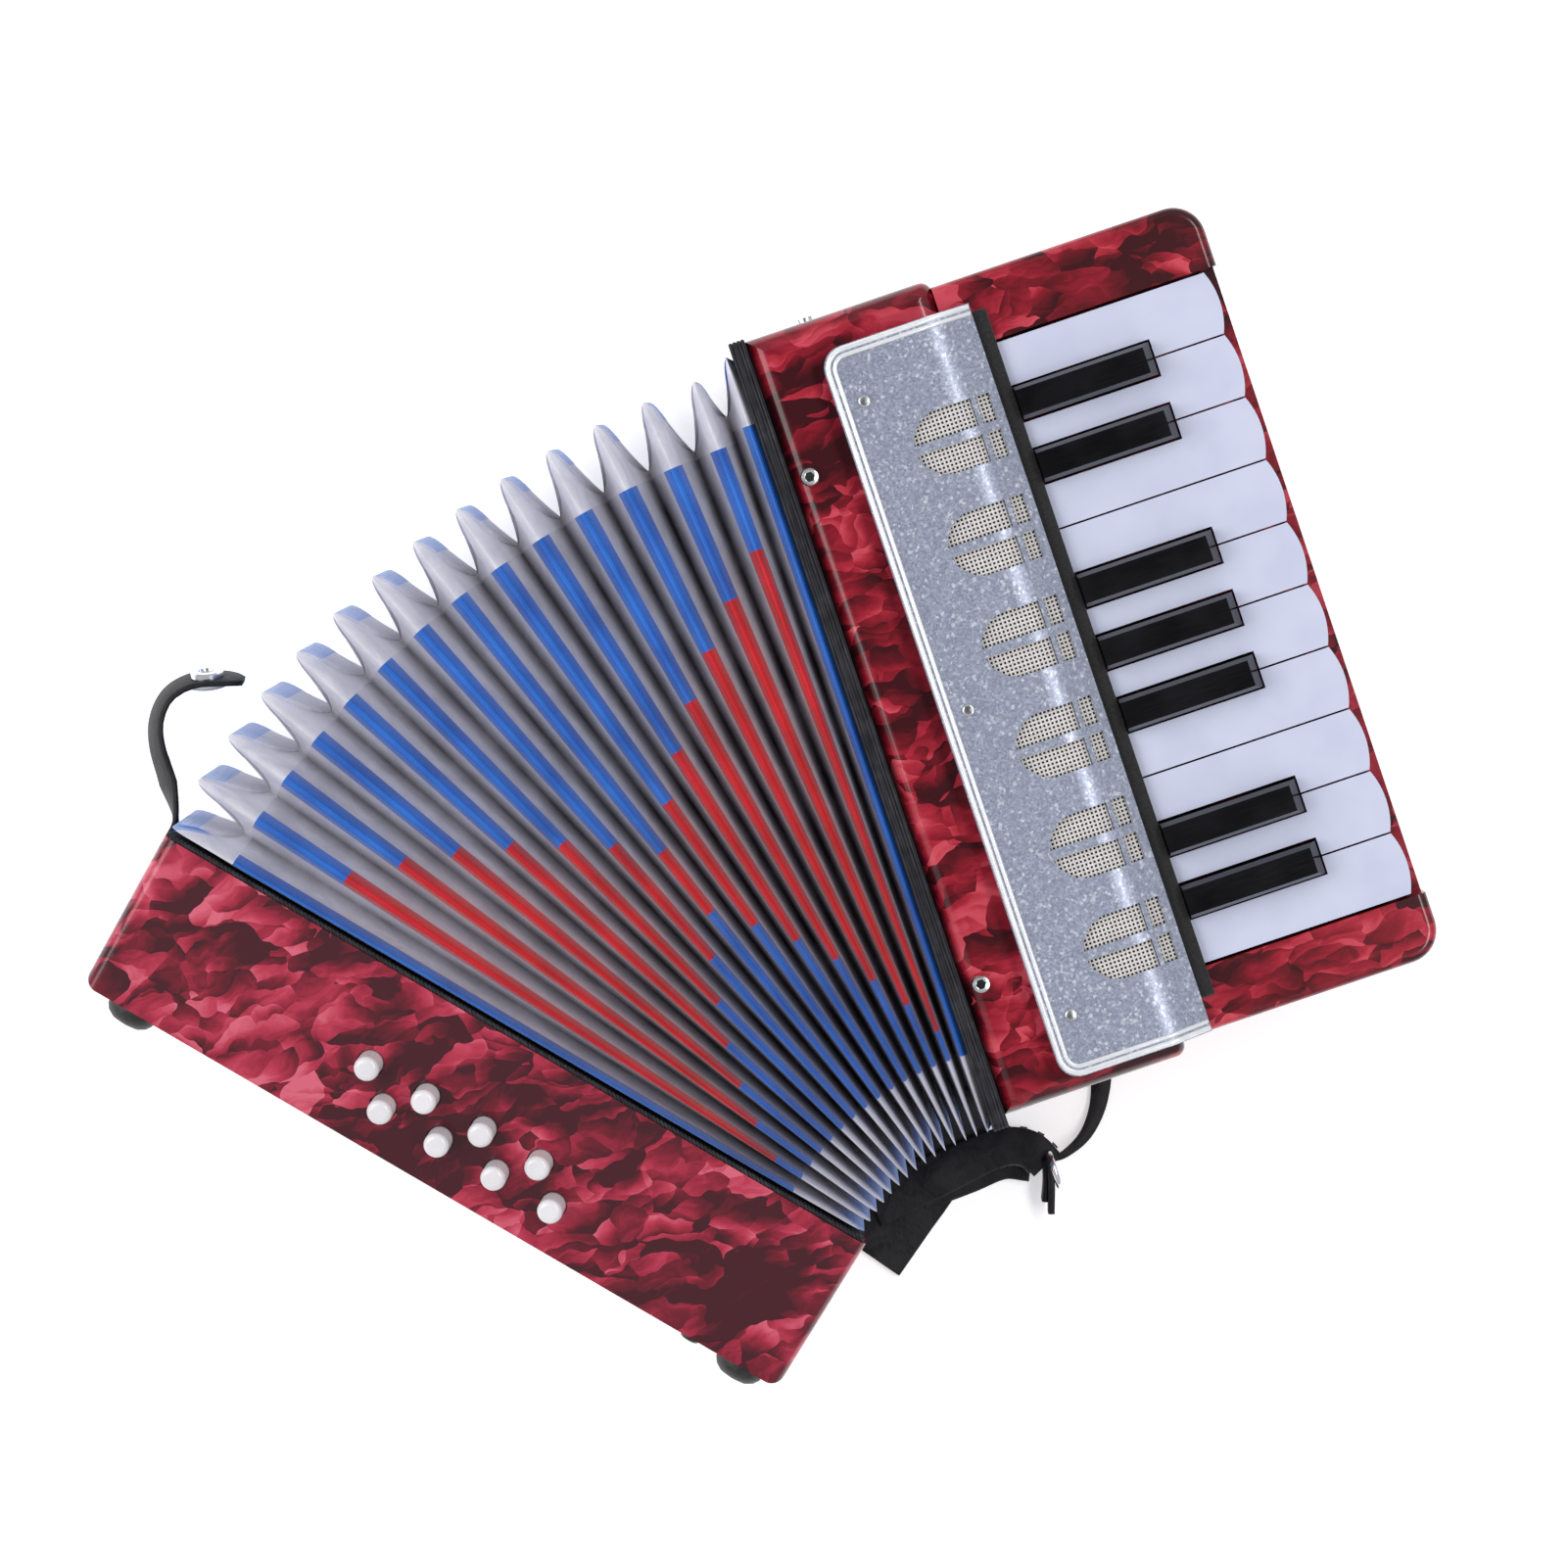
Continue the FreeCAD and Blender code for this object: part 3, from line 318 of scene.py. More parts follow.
def felt():
    """Dense black felt."""
    s = Shader("black_felt")
    fibre = s.noise(s.coords(), 1600.0, 4.0, 0.7)
    s.set(Base_Color=s.ramp(fibre, [(0.3, (0.004, 0.004, 0.004)), (0.7, (0.022, 0.022, 0.024))]),
          Roughness=0.95, Sheen_Weight=0.3, Normal=s.bump(fibre, 0.8, 0.0004))
    return s.material


def metal(name, low, high, rough=0.14):
    """Plated metal with a little haze."""
    s = Shader(name)
    haze = s.noise(s.coords(), 420.0, 3.0)
    s.set(Base_Color=s.ramp(haze, [(0.3, low), (0.7, high)]), Metallic=1.0,
          Roughness=s.ramp(haze, [(0.3, rough), (0.7, rough + 0.12)]), Normal=s.bump(haze, 0.06, 0.0002))
    return s.material


def rubber():
    """Matt black rubber."""
    s = Shader("black_rubber")
    speck = s.noise(s.coords(), 700.0, 3.0)
    s.set(Base_Color=s.ramp(speck, [(0.3, (0.010, 0.010, 0.010)), (0.7, (0.035, 0.035, 0.036))]),
          Roughness=s.ramp(speck, [(0.3, 0.42), (0.7, 0.6)]), Normal=s.bump(speck, 0.3, 0.0002))
    return s.material


def wood():
    """Pale spruce with a fine grain along Y."""
    s = Shader("spruce")
    lines = s.noise(s.stretched(s.coords(), (900.0, 14.0, 900.0)), 1.0, 4.0, 0.6, 0.3)
    s.set(Base_Color=s.ramp(lines, [(0.3, (0.42, 0.27, 0.13)), (0.7, (0.74, 0.56, 0.33))]), Roughness=0.6,
          Normal=s.bump(lines, 0.3, 0.0003))
    return s.material


def thread():
    """Waxed grey stitching thread."""
    s = Shader("stitch_thread")
    twist = s.noise(s.coords(), 2400.0, 2.0)
    s.set(Base_Color=s.ramp(twist, [(0.3, (0.05, 0.05, 0.05)), (0.7, (0.14, 0.14, 0.14))]), Roughness=0.7,
          Normal=s.bump(twist, 0.5, 0.0001))
    return s.material


TREBLE_RED = pearl_red("pearl_red_treble", ((0.040, 0.001, 0.004), (0.125, 0.003, 0.009),
        (0.235, 0.006, 0.018), (0.370, 0.016, 0.034),
        (0.560, 0.062, 0.090)), 0.0)
BASS_RED = pearl_red("pearl_red_bass", ((0.050, 0.002, 0.008), (0.150, 0.004, 0.016),
        (0.310, 0.012, 0.038), (0.460, 0.032, 0.072),
        (0.630, 0.115, 0.175)), 0.7)
GLITTER = glitter_silver()
BORDER = polished_border()
# The white keys' dark Y sides are painted shade for the gaps between the keys.
WHITE_KEY = gloss_plastic("white_key_plastic", (0.565, 0.595, 0.755), (0.61, 0.64, 0.80),
        shaded_flanks=(0.015, 0.014, 0.018))
BLACK_KEY = gloss_plastic("black_key_plastic", (0.002, 0.002, 0.003), (0.007, 0.007, 0.009), 0.12, 0.0,
        shine=0.4)
BUTTON = gloss_plastic("button_plastic", (0.72, 0.70, 0.72), (0.80, 0.78, 0.80), 0.22, 0.3)
BLACK_PLASTIC = gloss_plastic("black_plastic", (0.006, 0.006, 0.006), (0.018, 0.018, 0.018), 0.25, 0.3)
PANEL = gloss_plastic("back_panel", (0.012, 0.012, 0.013), (0.030, 0.030, 0.032), 0.42, 0.0, 400.0)
BLUE = ribbed_cloth("blue_tape", (0.008, 0.080, 0.38), (0.022, 0.185, 0.70))
PALE_BLUE = ribbed_cloth("pale_blue_tape", (0.17, 0.30, 0.66), (0.26, 0.40, 0.76))
RED_TAPE = ribbed_cloth("red_tape", (0.40, 0.003, 0.006), (0.72, 0.010, 0.018))
# Their last colours are the painted shade deep in the bellows folds.
CORNER = leatherette("white_corner", (0.62, 0.61, 0.68), (0.74, 0.73, 0.80), (0.15, 0.13, 0.14))
WALL = leatherette("bellows_wall", (0.56, 0.55, 0.61), (0.68, 0.67, 0.74), (0.045, 0.038, 0.050), 0.5)
LEATHER = black_leather()
CLOTH = book_cloth()
GAUZE = gauze()
FELT = felt()
CHROME = metal("chrome", (0.72, 0.73, 0.75), (0.88, 0.89, 0.90))
STEEL = metal("steel", (0.45, 0.45, 0.46), (0.62, 0.62, 0.64), 0.3)
PEARL_CAP = gloss_plastic("snap_cap_enamel", (0.36, 0.37, 0.39), (0.48, 0.49, 0.51), 0.35, 0.2)
RUBBER = rubber()
WOOD = wood()
THREAD = thread()


# ---- Making pieces ----

def piece(name, points, faces, materials, face_material=None, uvs=None, smooth=True, angle=40):
    """A mesh object from points and faces, with its materials and each face's material index."""
    mesh = bpy.data.meshes.new(name)
    mesh.from_pydata([tuple(p) for p in points], [], faces)
    for material in materials:
        mesh.materials.append(material)
    if face_material:
        for polygon, index in zip(mesh.polygons, face_material):
            polygon.material_index = index
    if uvs:
        layer = mesh.uv_layers.new(name="UVMap")
        for loop in mesh.loops:
            layer.data[loop.index].uv = uvs[loop.vertex_index]
    if smooth:
        mesh.polygons.foreach_set("use_smooth", [True] * len(mesh.polygons))
        mesh.set_sharp_from_angle(angle=math.radians(angle))
    mesh.update()
    made = bpy.data.objects.new(name, mesh)
    bpy.context.scene.collection.objects.link(made)
    return made


def apply_modifiers(made):
    """Turns a piece's modifiers into plain mesh."""
    depsgraph = bpy.context.evaluated_depsgraph_get()
    mesh = bpy.data.meshes.new_from_object(made.evaluated_get(depsgraph))
    made.modifiers.clear()
    made.data = mesh
    return made


def rounded(made, width, segments=3, angle=35):
    """Rounds a piece's edges."""
    bevel = made.modifiers.new("rounding", "BEVEL")
    bevel.width, bevel.segments = width, segments
    bevel.limit_method, bevel.angle_limit = "ANGLE", math.radians(angle)
    bevel.harden_normals = False
    return made


def paint(names, material):
    """Gives CAD nodes a material."""
    for name in names:
        mesh = nodes[name].data
        mesh.materials.clear()
        mesh.materials.append(material)


def lathe(name, profile, centre, axis, materials, steps=32):
    """A round piece: the profile's (radius, height) points, in millimetres, turned about an axis."""
    turn = Vector(axis).to_track_quat("Z", "Y")
    points, faces = [], []
    for radius, height in profile:
        for step in range(steps):
            around = 2 * math.pi * step / steps
            local = Vector((radius * MM * math.cos(around), radius * MM * math.sin(around), height * MM))
            points.append(Vector(centre) + turn @ local)
    for row in range(len(profile) - 1):
        for step in range(steps):
            after = (step + 1) % steps
            faces.append((row * steps + step, row * steps + after, (row + 1) * steps + after,
                    (row + 1) * steps + step))
    faces.append(tuple(range(steps))[::-1])
    faces.append(tuple((len(profile) - 1) * steps + step for step in range(steps)))
    return piece(name, points, faces, materials)


def smooth_path(points, count):
    """Points evenly along one smooth curve through the given points (Catmull-Rom)."""
    points = [Vector(p) for p in points]
    ends = [2 * points[0] - points[1]] + points + [2 * points[-1] - points[-2]]
    dense = []
    for i in range(1, len(ends) - 2):
        a, b, c, d = ends[i - 1:i + 3]
        for step in range(24):
            t = step / 24
            dense.append(0.5 * ((2 * b) + (c - a) * t + (2 * a - 5 * b + 4 * c - d) * t * t
                    + (3 * b - a - 3 * c + d) * t ** 3))
    dense.append(points[-1])
    lengths = [0.0]
    for a, b in zip(dense, dense[1:]):
        lengths.append(lengths[-1] + (b - a).length)
    spread, at = [], 0
    for i in range(count):
        goal = lengths[-1] * i / (count - 1)
        while at < len(dense) - 2 and lengths[at + 1] < goal:
            at += 1
        share = (goal - lengths[at]) / max(lengths[at + 1] - lengths[at], 1e-9)
        spread.append(dense[at].lerp(dense[at + 1], min(max(share, 0), 1)))
    return spread


def heading(path, i):
    """A path's direction at its point i."""
    return (path[min(i + 1, len(path) - 1)] - path[max(i - 1, 0)]).normalized()


def strap(name, path, sides, width, thick, materials, widths=None):
    """A flat leather strap along a path; sides are the directions across it. Its long edges are rounded."""
    section = []
    half_w, half_t = width / 2, thick / 2
    for sx, sz, steps in ((1, 1, (0, 1, 2)), (-1, 1, (2, 1, 0)), (-1, -1, (0, 1, 2)), (1, -1, (2, 1, 0))):
        for step in steps:
            a = math.pi / 4 * step
            section.append((sx * (half_w - half_t + half_t * math.cos(a)), sz * half_t * math.sin(a)))
    points, faces = [], []
    for i, here in enumerate(path):
        ahead = heading(path, i)
        across = (sides[i] - ahead * sides[i].dot(ahead)).normalized()
        up = across.cross(ahead).normalized()
        scale = widths[i] if widths else 1.0
        for a, b in section:
            points.append(here + across * a * scale + up * b)
    size = len(section)
    for i in range(len(path) - 1):
        for j in range(size):
            k = (j + 1) % size
            faces.append((i * size + j, i * size + k, (i + 1) * size + k, (i + 1) * size + j))
    faces.append(tuple(range(size))[::-1])
    faces.append(tuple((len(path) - 1) * size + j for j in range(size)))
    return piece(name, points, faces, materials, angle=50)


STITCH_HALF = 0.28 * MM


def stitches(name, path, sides, offset, lift, every):
    """Short raised stitches along both edges of a strap."""
    points, faces = [], []
    length = sum((b - a).length for a, b in zip(path, path[1:]))
    count = int(length / every)
    even = smooth_path(path, count * 2 + 1)
    even_sides = smooth_path(sides, count * 2 + 1)
    for edge in (-1, 1):
        for i in range(0, count * 2 - 1, 2):
            ahead = (even[i + 1] - even[i]).normalized()
            across = (even_sides[i] - ahead * even_sides[i].dot(ahead)).normalized()
            up = across.cross(ahead).normalized()
            a = even[i] + across * offset * edge + up * lift
            b = even[i].lerp(even[i + 1], 1.2) + across * offset * edge + up * lift
            ring = []
            for end in (a, b):
                for turn in range(6):
                    around = math.pi / 3 * turn
                    away = across * math.cos(around) + up * math.sin(around) * 0.6
                    ring.append(end + away * STITCH_HALF)
            first = len(points)
            points += ring
            faces += [(first + t, first + (t + 1) % 6, first + 6 + (t + 1) % 6, first + 6 + t)
                      for t in range(6)]
            faces += [tuple(first + t for t in range(6))[::-1], tuple(first + 6 + t for t in range(6))]
    return piece(name, points, faces, [THREAD])


class Place:
    """A local frame that has turned about Z: the bass side's, or one fold's."""

    def __init__(self, origin, degrees):
        self.origin = Vector((origin[0], origin[1], 0))
        self.turn = Matrix.Rotation(math.radians(degrees), 3, "Z")

    def row(self, x, y, z):
        """A local point, in the model's frame."""
        return self.origin + self.turn @ Vector((x, y, z))

    def way(self, x, y, z):
        """A local direction, in the model's frame."""
        return self.turn @ Vector((x, y, z))

    def box(self, node):
        """A CAD node's lowest and highest corners, measured along the local axes."""
        back = self.turn.transposed()
        corners = [back @ (v.co - self.origin) for v in nodes[node].data.vertices]
        return (Vector([min(c[i] for c in corners) for i in range(3)]),
                Vector([max(c[i] for c in corners) for i in range(3)]))


# ---- The bellows ----

OPEN_ANGLES = [-joint["range_deg"][0] for joint in bellows_joints]
HINGES = [Vector(joint["pos_m"]) for joint in bellows_joints]
PITCH = (HINGES[1] - HINGES[0]).length
fold_low, fold_high = Place(HINGES[0], OPEN_ANGLES[0]).box("fold_01")
FOLD_LOW, FOLD_HIGH = fold_low.y, fold_high.y
FOLD_BACK, FOLD_FRONT = fold_low.z, fold_high.z
TAPE_LIFT = 0.35 * MM
CORNER_LENGTH_TOP, CORNER_LENGTH_BOTTOM, CORNER_LENGTH_SIDE = 19.0 * MM, 22.0 * MM, 6.0 * MM
RED_SHORTEST, RED_GROWTH = 21.0 * MM, 19.6 * MM
RED_CENTRE = 0.46
CREST_RADIUS, VALLEY_RADIUS = 5.0 * MM, 2.5 * MM
BACK_LEAN = 3.0 * MM
GUSSET_SINK = 4.5 * MM
END_REACH, LEAN_REACH, NARROW_REACH = 18 * MM, 45 * MM, 150 * MM
LINE_GAP = 0.1 * MM
# One side of a fold's cross-section: how far along the gap, how deep in millimetres, and whether the tape
# covers it. The valley is the middle of the gap.
FLANK = [(0.0, 0.0, True), (0.03, 0.2, True), (0.07, 0.8, True), (0.115, 2.1, True), (0.16, 4.0, True),
         (0.20, 6.2, True), (0.204, 6.4, False), (0.27, 9.6, False), (0.35, 12.9, False),
         (0.42, 15.3, False), (0.465, 16.5, False)]
VALLEY_DEPTH = 17.0
# Painted shade in the folds: where it starts, what it gains towards each end and at the narrow end, and its
# shares.
SHADE_START, SHADE_AT_BASS, SHADE_AT_TREBLE, SHADE_AT_NARROW = 0.25, 0.12, 1.0, 0.7
WALL_SHADE_SHARE, CREASE_SHADE_SHARE, CREASE_POWER = 0.75, 0.45, 14


def crest_top(crest):
    """How far up its own length a crest reaches; the one on the treble frame is a little longer."""
    return FOLD_HIGH + (3.3 * MM if crest == 0 else 0.0) - (0.8 * MM if crest == FOLDS + 1 else 0.0)


def red_span(crest, top):
    """Where a crest's red tape starts and ends along its length; the first and last have none."""
    if crest in (0, FOLDS + 1):
        return None
    length = RED_SHORTEST + RED_GROWTH * abs(crest - (FOLDS + 1) / 2)
    middle = FOLD_LOW + RED_CENTRE * (top - FOLD_LOW)
    return middle - length / 2, middle + length / 2


def outline(low, high, back, front, radius, stations, side_stations, sink=0.0):
    """Points round a fold: along the front, over the top end, back and under, with rounded corners.

    stations and side_stations are the places along Y and Z that need a line; sink pulls the corners in."""
    def between(places, least, most):
        return [min(max(place, least + radius + LINE_GAP * (n + 1)),
                most - radius - LINE_GAP * (len(places) - n)) for n, place in enumerate(places)]

    ys, zs = between(stations, low, high), between(side_stations, back, front)
    pull = sink / math.sqrt(2)
    low_y, high_y = low + pull + radius, high - pull - radius
    back_z, front_z = back + pull + radius, front - pull - radius
    arc = [math.pi / 2 * step / 4 for step in range(5)]
    corner = [(radius * math.sin(a), radius * math.cos(a)) for a in arc]
    line = [(y, front) for y in ys]
    line += [(high_y + sine, front_z + cosine) for sine, cosine in corner]
    line += [(high, z) for z in reversed(zs)]
    line += [(high_y + cosine, back_z - sine) for sine, cosine in corner]
    line += [(y, back) for y in reversed(ys)]
    line += [(low_y - sine, back_z - cosine) for sine, cosine in corner]
    line += [(low, z) for z in zs]
    line += [(low_y - cosine, front_z + sine) for sine, cosine in corner]
    return line


def colour_of(y, z, crest, top, on_tape):
    """Which material a spot on the bellows has: 0 wall, 1 corner, 2 blue, 3 red, 4 pale blue."""
    low_end, high_end = FOLD_LOW + CORNER_LENGTH_BOTTOM, top - CORNER_LENGTH_TOP
    off_corner = FOLD_BACK + CORNER_LENGTH_SIDE < z < FOLD_FRONT - CORNER_LENGTH_SIDE
    if off_corner and not FOLD_LOW + END_REACH < y < top - END_REACH:
        return 4 if on_tape else 0
    if y > high_end or y < low_end:
        return 1
    if not on_tape:
        return 0
    span = red_span(crest, top)
    return 3 if span and span[0] < y < span[1] else 2


def pleat_stations(gap, tops):
    """The places along Y where a pleat's mesh needs a line: where tapes end, and evenly between."""
    marks = {FOLD_LOW + CORNER_LENGTH_BOTTOM, tops[0] - CORNER_LENGTH_TOP, tops[1] - CORNER_LENGTH_TOP}
    for crest, top in zip((gap, gap + 1), tops):
        marks.update(red_span(crest, top) or ())
    first, last = FOLD_LOW + CORNER_LENGTH_BOTTOM, min(tops) - CORNER_LENGTH_TOP
    for step in range(1, 12):
        y = first + (last - first) * step / 12
        if all(abs(y - other) > 4 * MM for other in marks):
            marks.add(y)
    return sorted(marks)


def pleat(gap):
    """The card, cloth and tape between two crests, hinged like the bodies on either side."""
    start_angle = sum(OPEN_ANGLES[:gap])
    opened = OPEN_ANGLES[gap]
    tops = [crest_top(gap), crest_top(gap + 1)]
    stations = pleat_stations(gap, tops)
    height = FOLD_FRONT - FOLD_BACK
    side_stations = [FOLD_BACK + CORNER_LENGTH_SIDE, FOLD_BACK + height * 0.3, FOLD_BACK + height * 0.5,
            FOLD_BACK + height * 0.7, FOLD_FRONT - CORNER_LENGTH_SIDE]
    rows = FLANK + [(0.5, VALLEY_DEPTH, False)]
    rows += [(1 - share, depth, tape) for share, depth, tape in reversed(FLANK)]
    if gap == 0:
        rows = [(-0.62, 2.4, True), (-0.2, 0.8, True)] + rows
    if gap == FOLDS:
        rows = rows + [(1.06, 0.8, True), (1.17, 2.4, True)]
    scale = min(1.0, opened / OPEN_ANGLES[-1] * 1.2)
    points, uvs, deep, rings = [], [], [], []
    for share, depth, on_tape in rows:
        inside = min(max(share, 0), 1)
        place = Place(HINGES[gap], start_angle + opened * inside)
        top = tops[0] + (tops[1] - tops[0]) * inside
        inset = depth * MM * scale - (TAPE_LIFT if on_tape else 0)
        part = depth / VALLEY_DEPTH
        radius = CREST_RADIUS + (VALLEY_RADIUS - CREST_RADIUS) * part
        sink = GUSSET_SINK * math.sin(math.pi * min(part, 1.0) ** 0.8)
        ring = outline(FOLD_LOW + inset, top - inset, FOLD_BACK + inset, FOLD_FRONT - inset, radius,
                stations, side_stations, sink)
        travelled = 0.0
        for index, (y, z) in enumerate(ring):
            if index:
                travelled += math.dist(ring[index - 1], ring[index])
            near_end = min(max((y - top + LEAN_REACH) / LEAN_REACH, 0), 1)
            lean = BACK_LEAN * (FOLD_FRONT - z) / height * near_end
            points.append(place.row(PITCH * (0.5 - share), y + lean, z))
            uvs.append((travelled / MM, depth))
            # Painted shade stored in the deep attribute: darker deep in the valleys and sharply at the
            # crease, more towards the treble frame and the narrow end.
            narrow = 1 - min(max((y - FOLD_LOW) / NARROW_REACH, 0), 1)
            shade_gain = SHADE_AT_BASS + SHADE_AT_TREBLE * (1 - gap / FOLDS) + SHADE_AT_NARROW * narrow
            wall_shade_amount = max(0.0, part - SHADE_START) * shade_gain
            deep.append(min(1.0, WALL_SHADE_SHARE * wall_shade_amount + CREASE_SHADE_SHARE * part ** CREASE_POWER))
        rings.append(ring)
    size = len(rings[0])
    faces, colours = [], []
    for row in range(len(rows) - 1):
        on_tape = rows[row][2] and rows[row + 1][2]
        near_first = (rows[row][0] + rows[row + 1][0]) / 2 < 0.5
        crest, top = (gap, tops[0]) if near_first else (gap + 1, tops[1])
        crest_ring = rings[0] if near_first else rings[-1]
        for j in range(size):
            k = (j + 1) % size
            faces.append((row * size + j, (row + 1) * size + j, (row + 1) * size + k, row * size + k))
            y = (crest_ring[j][0] + crest_ring[k][0]) / 2
            z = (crest_ring[j][1] + crest_ring[k][1]) / 2
            colours.append(colour_of(y, z, crest, top, on_tape))
    made = piece(f"bellows_pleat_{gap + 1:02d}", points, faces, [WALL, CORNER, BLUE, RED_TAPE, PALE_BLUE],
            colours, uvs, angle=50)
    layer = made.data.color_attributes.new("deep", "FLOAT_COLOR", "POINT")
    for item, value in zip(layer.data, deep):
        item.color = (value, value, value, 1)
    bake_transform(made)
    if gap < FOLDS:
        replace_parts(made, f"fold_{gap + 1:02d}")
    if gap == 0:
        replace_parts(made, "bellows_lining")
    return made


RIB_HEIGHT = 0.35 * MM


def frame_band(name, place, x_low, x_high, low, high, back, front, depth, ribs, material, body, replaced):
    """A flat frame round the bellows' end, with shallow ribs where the cloth is turned over it."""
    rows = [(x_low, depth)]
    for rib in range(ribs * 4 + 1):
        share = rib / (ribs * 4)
        rows.append((x_low + (x_high - x_low) * share, -RIB_HEIGHT * abs(math.sin(math.pi * ribs * share))))
    rows.append((x_high, depth))
    points, faces = [], []
    for x, inset in rows:
        ring = outline(low + inset, high - inset, back + inset, front - inset, 2.5 * MM,
                [low + 30 * MM, high - 30 * MM], [back + 30 * MM, front - 30 * MM])
        points += [place.row(x, y, z) for y, z in ring]
    size = len(points) // len(rows)
    for row in range(len(rows) - 1):
        for j in range(size):
            k = (j + 1) % size
            faces.append((row * size + j, row * size + k, (row + 1) * size + k, (row + 1) * size + j))
    made = piece(name, points, faces, [material], angle=50)
    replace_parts(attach(made, body), replaced)
    return made


BASS = Place(HINGES[-1], sum(OPEN_ANGLES))
TREBLE = Place((0, 0), 0)
bass_low, bass_high = BASS.box("bass_casing")
treble_low, treble_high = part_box("treble_casing")


def bellows():
    """All pleats, and the cloth-covered frames at both ends."""
    for gap in range(FOLDS + 1):
        pleat(gap)
    low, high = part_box("treble_bellows_frame")
    frame_band("treble_gasket", TREBLE, treble_low.x - 4.5 * MM, treble_low.x, low.y, high.y, low.z, high.z,
            9 * MM, 4, CLOTH, "treble", "treble_bellows_frame")
    low, high = BASS.box("bass_bellows_frame")
    frame_band("bass_gasket", BASS, bass_high.x, bass_high.x + 1.2 * MM, low.y - 1.0 * MM,
            high.y + 0.6 * MM, low.z - 0.4 * MM, high.z + 0.5 * MM, 9 * MM, 1, CLOTH, "bass",
            "bass_bellows_frame")


bellows()


# ---- Casings, keys and grille ----

def casings():
    """Materials and rounded edges for the pieces that keep their CAD shape."""
    paint(["treble_casing", "keyboard_bed"], TREBLE_RED)
    paint(["bass_casing"], BASS_RED)
    paint(["treble_back_cover", "bass_back_cover"], PANEL)
    paint(["sound_board", "treble_reed_block", "bass_action_board"], WOOD)
    paint(["key_axle_and_springs"], STEEL)
    paint(["treble_fasteners", "strap_hardware"], CHROME)
    paint(["air_button"], BLACK_PLASTIC)
    paint(["grille"], GLITTER)
    for name, node in nodes.items():
        if name.startswith("white_key"):
            paint([name], WHITE_KEY)
            rounded(node, 0.4 * MM)
        elif name.startswith("black_key"):
            paint([name], BLACK_KEY)
            rounded(node, 0.5 * MM)
        elif name.startswith("bass_button"):
            paint([name], BUTTON)
    rounded(nodes["air_button"], 0.4 * MM)


WEAVE, THREAD_HALF, THREAD_WAVE = 1.15 * MM, 0.27 * MM, 0.13 * MM
RIDGE_SETBACK, SLOPE_DROP = 10.5 * MM, 5.2 * MM
HOLE_GROUPS, FIRST_GROUP, GROUP_PITCH, GROUP_SPAN = 6, 172.8, 28.5, 21 * MM


def gauze_panels(low, high, ridge):
    """Woven gauze behind each group of sound holes, over a dark lining."""
    under = high.z - 1.55 * MM
    slope = SLOPE_DROP / RIDGE_SETBACK
    first, last = low.x + 13.5 * MM, high.x - 1.7 * MM

    def height(x):
        return under - max(x - ridge, 0) * slope

    points, faces = [], []
    for group in range(HOLE_GROUPS):
        centre = low.y + (FIRST_GROUP - GROUP_PITCH * group) * MM
        start = centre - GROUP_SPAN / 2
        for along_y in (True, False):
            across, length = (last - first, GROUP_SPAN) if along_y else (GROUP_SPAN, last - first)
            count, steps = int(across / WEAVE), int(length / WEAVE * 2)
            for thread_number in range(count + 1):
                base = len(points)
                for step in range(steps + 1):
                    travel = step * WEAVE / 2
                    lift = THREAD_WAVE * math.cos(math.pi * (step / 2 + thread_number))
                    if along_y:
                        x, y = first + thread_number * WEAVE, start + travel
                        side_x, side_y = THREAD_HALF, 0
                    else:
                        x, y, lift = first + travel, start + thread_number * WEAVE, -lift
                        side_x, side_y = 0, THREAD_HALF
                    z = height(x) + lift
                    points += [(x - side_x, y - side_y, z), (x, y, z + THREAD_HALF * 0.7),
                            (x + side_x, y + side_y, z), (x, y, z - THREAD_HALF * 0.7)]
                for step in range(steps):
                    for side in range(4):
                        a, b = base + step * 4 + side, base + step * 4 + (side + 1) % 4
                        faces.append((a, b, b + 4, a + 4))
                end = base + steps * 4
                faces += [(base + 3, base + 2, base + 1, base), (end, end + 1, end + 2, end + 3)]
    cloth = piece("grille_gauze", points, faces, [GAUZE])
    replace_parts(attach(cloth, "treble"), "grille_gauze_and_felt")
    points = []
    for y in (low.y + 18 * MM, high.y - 19 * MM):
        for drop in (0.5 * MM, 1.0 * MM):
            points += [(x, y, height(x) - drop) for x in (first, ridge, last)]
    faces = [(0, 1, 7, 6), (1, 2, 8, 7), (4, 3, 9, 10), (5, 4, 10, 11), (0, 3, 4, 1), (1, 4, 5, 2),
             (6, 7, 10, 9), (7, 8, 11, 10), (0, 6, 9, 3), (2, 5, 11, 8)]
    lining = piece("grille_lining", points, faces, [FELT], smooth=False)
    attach(lining, "treble")


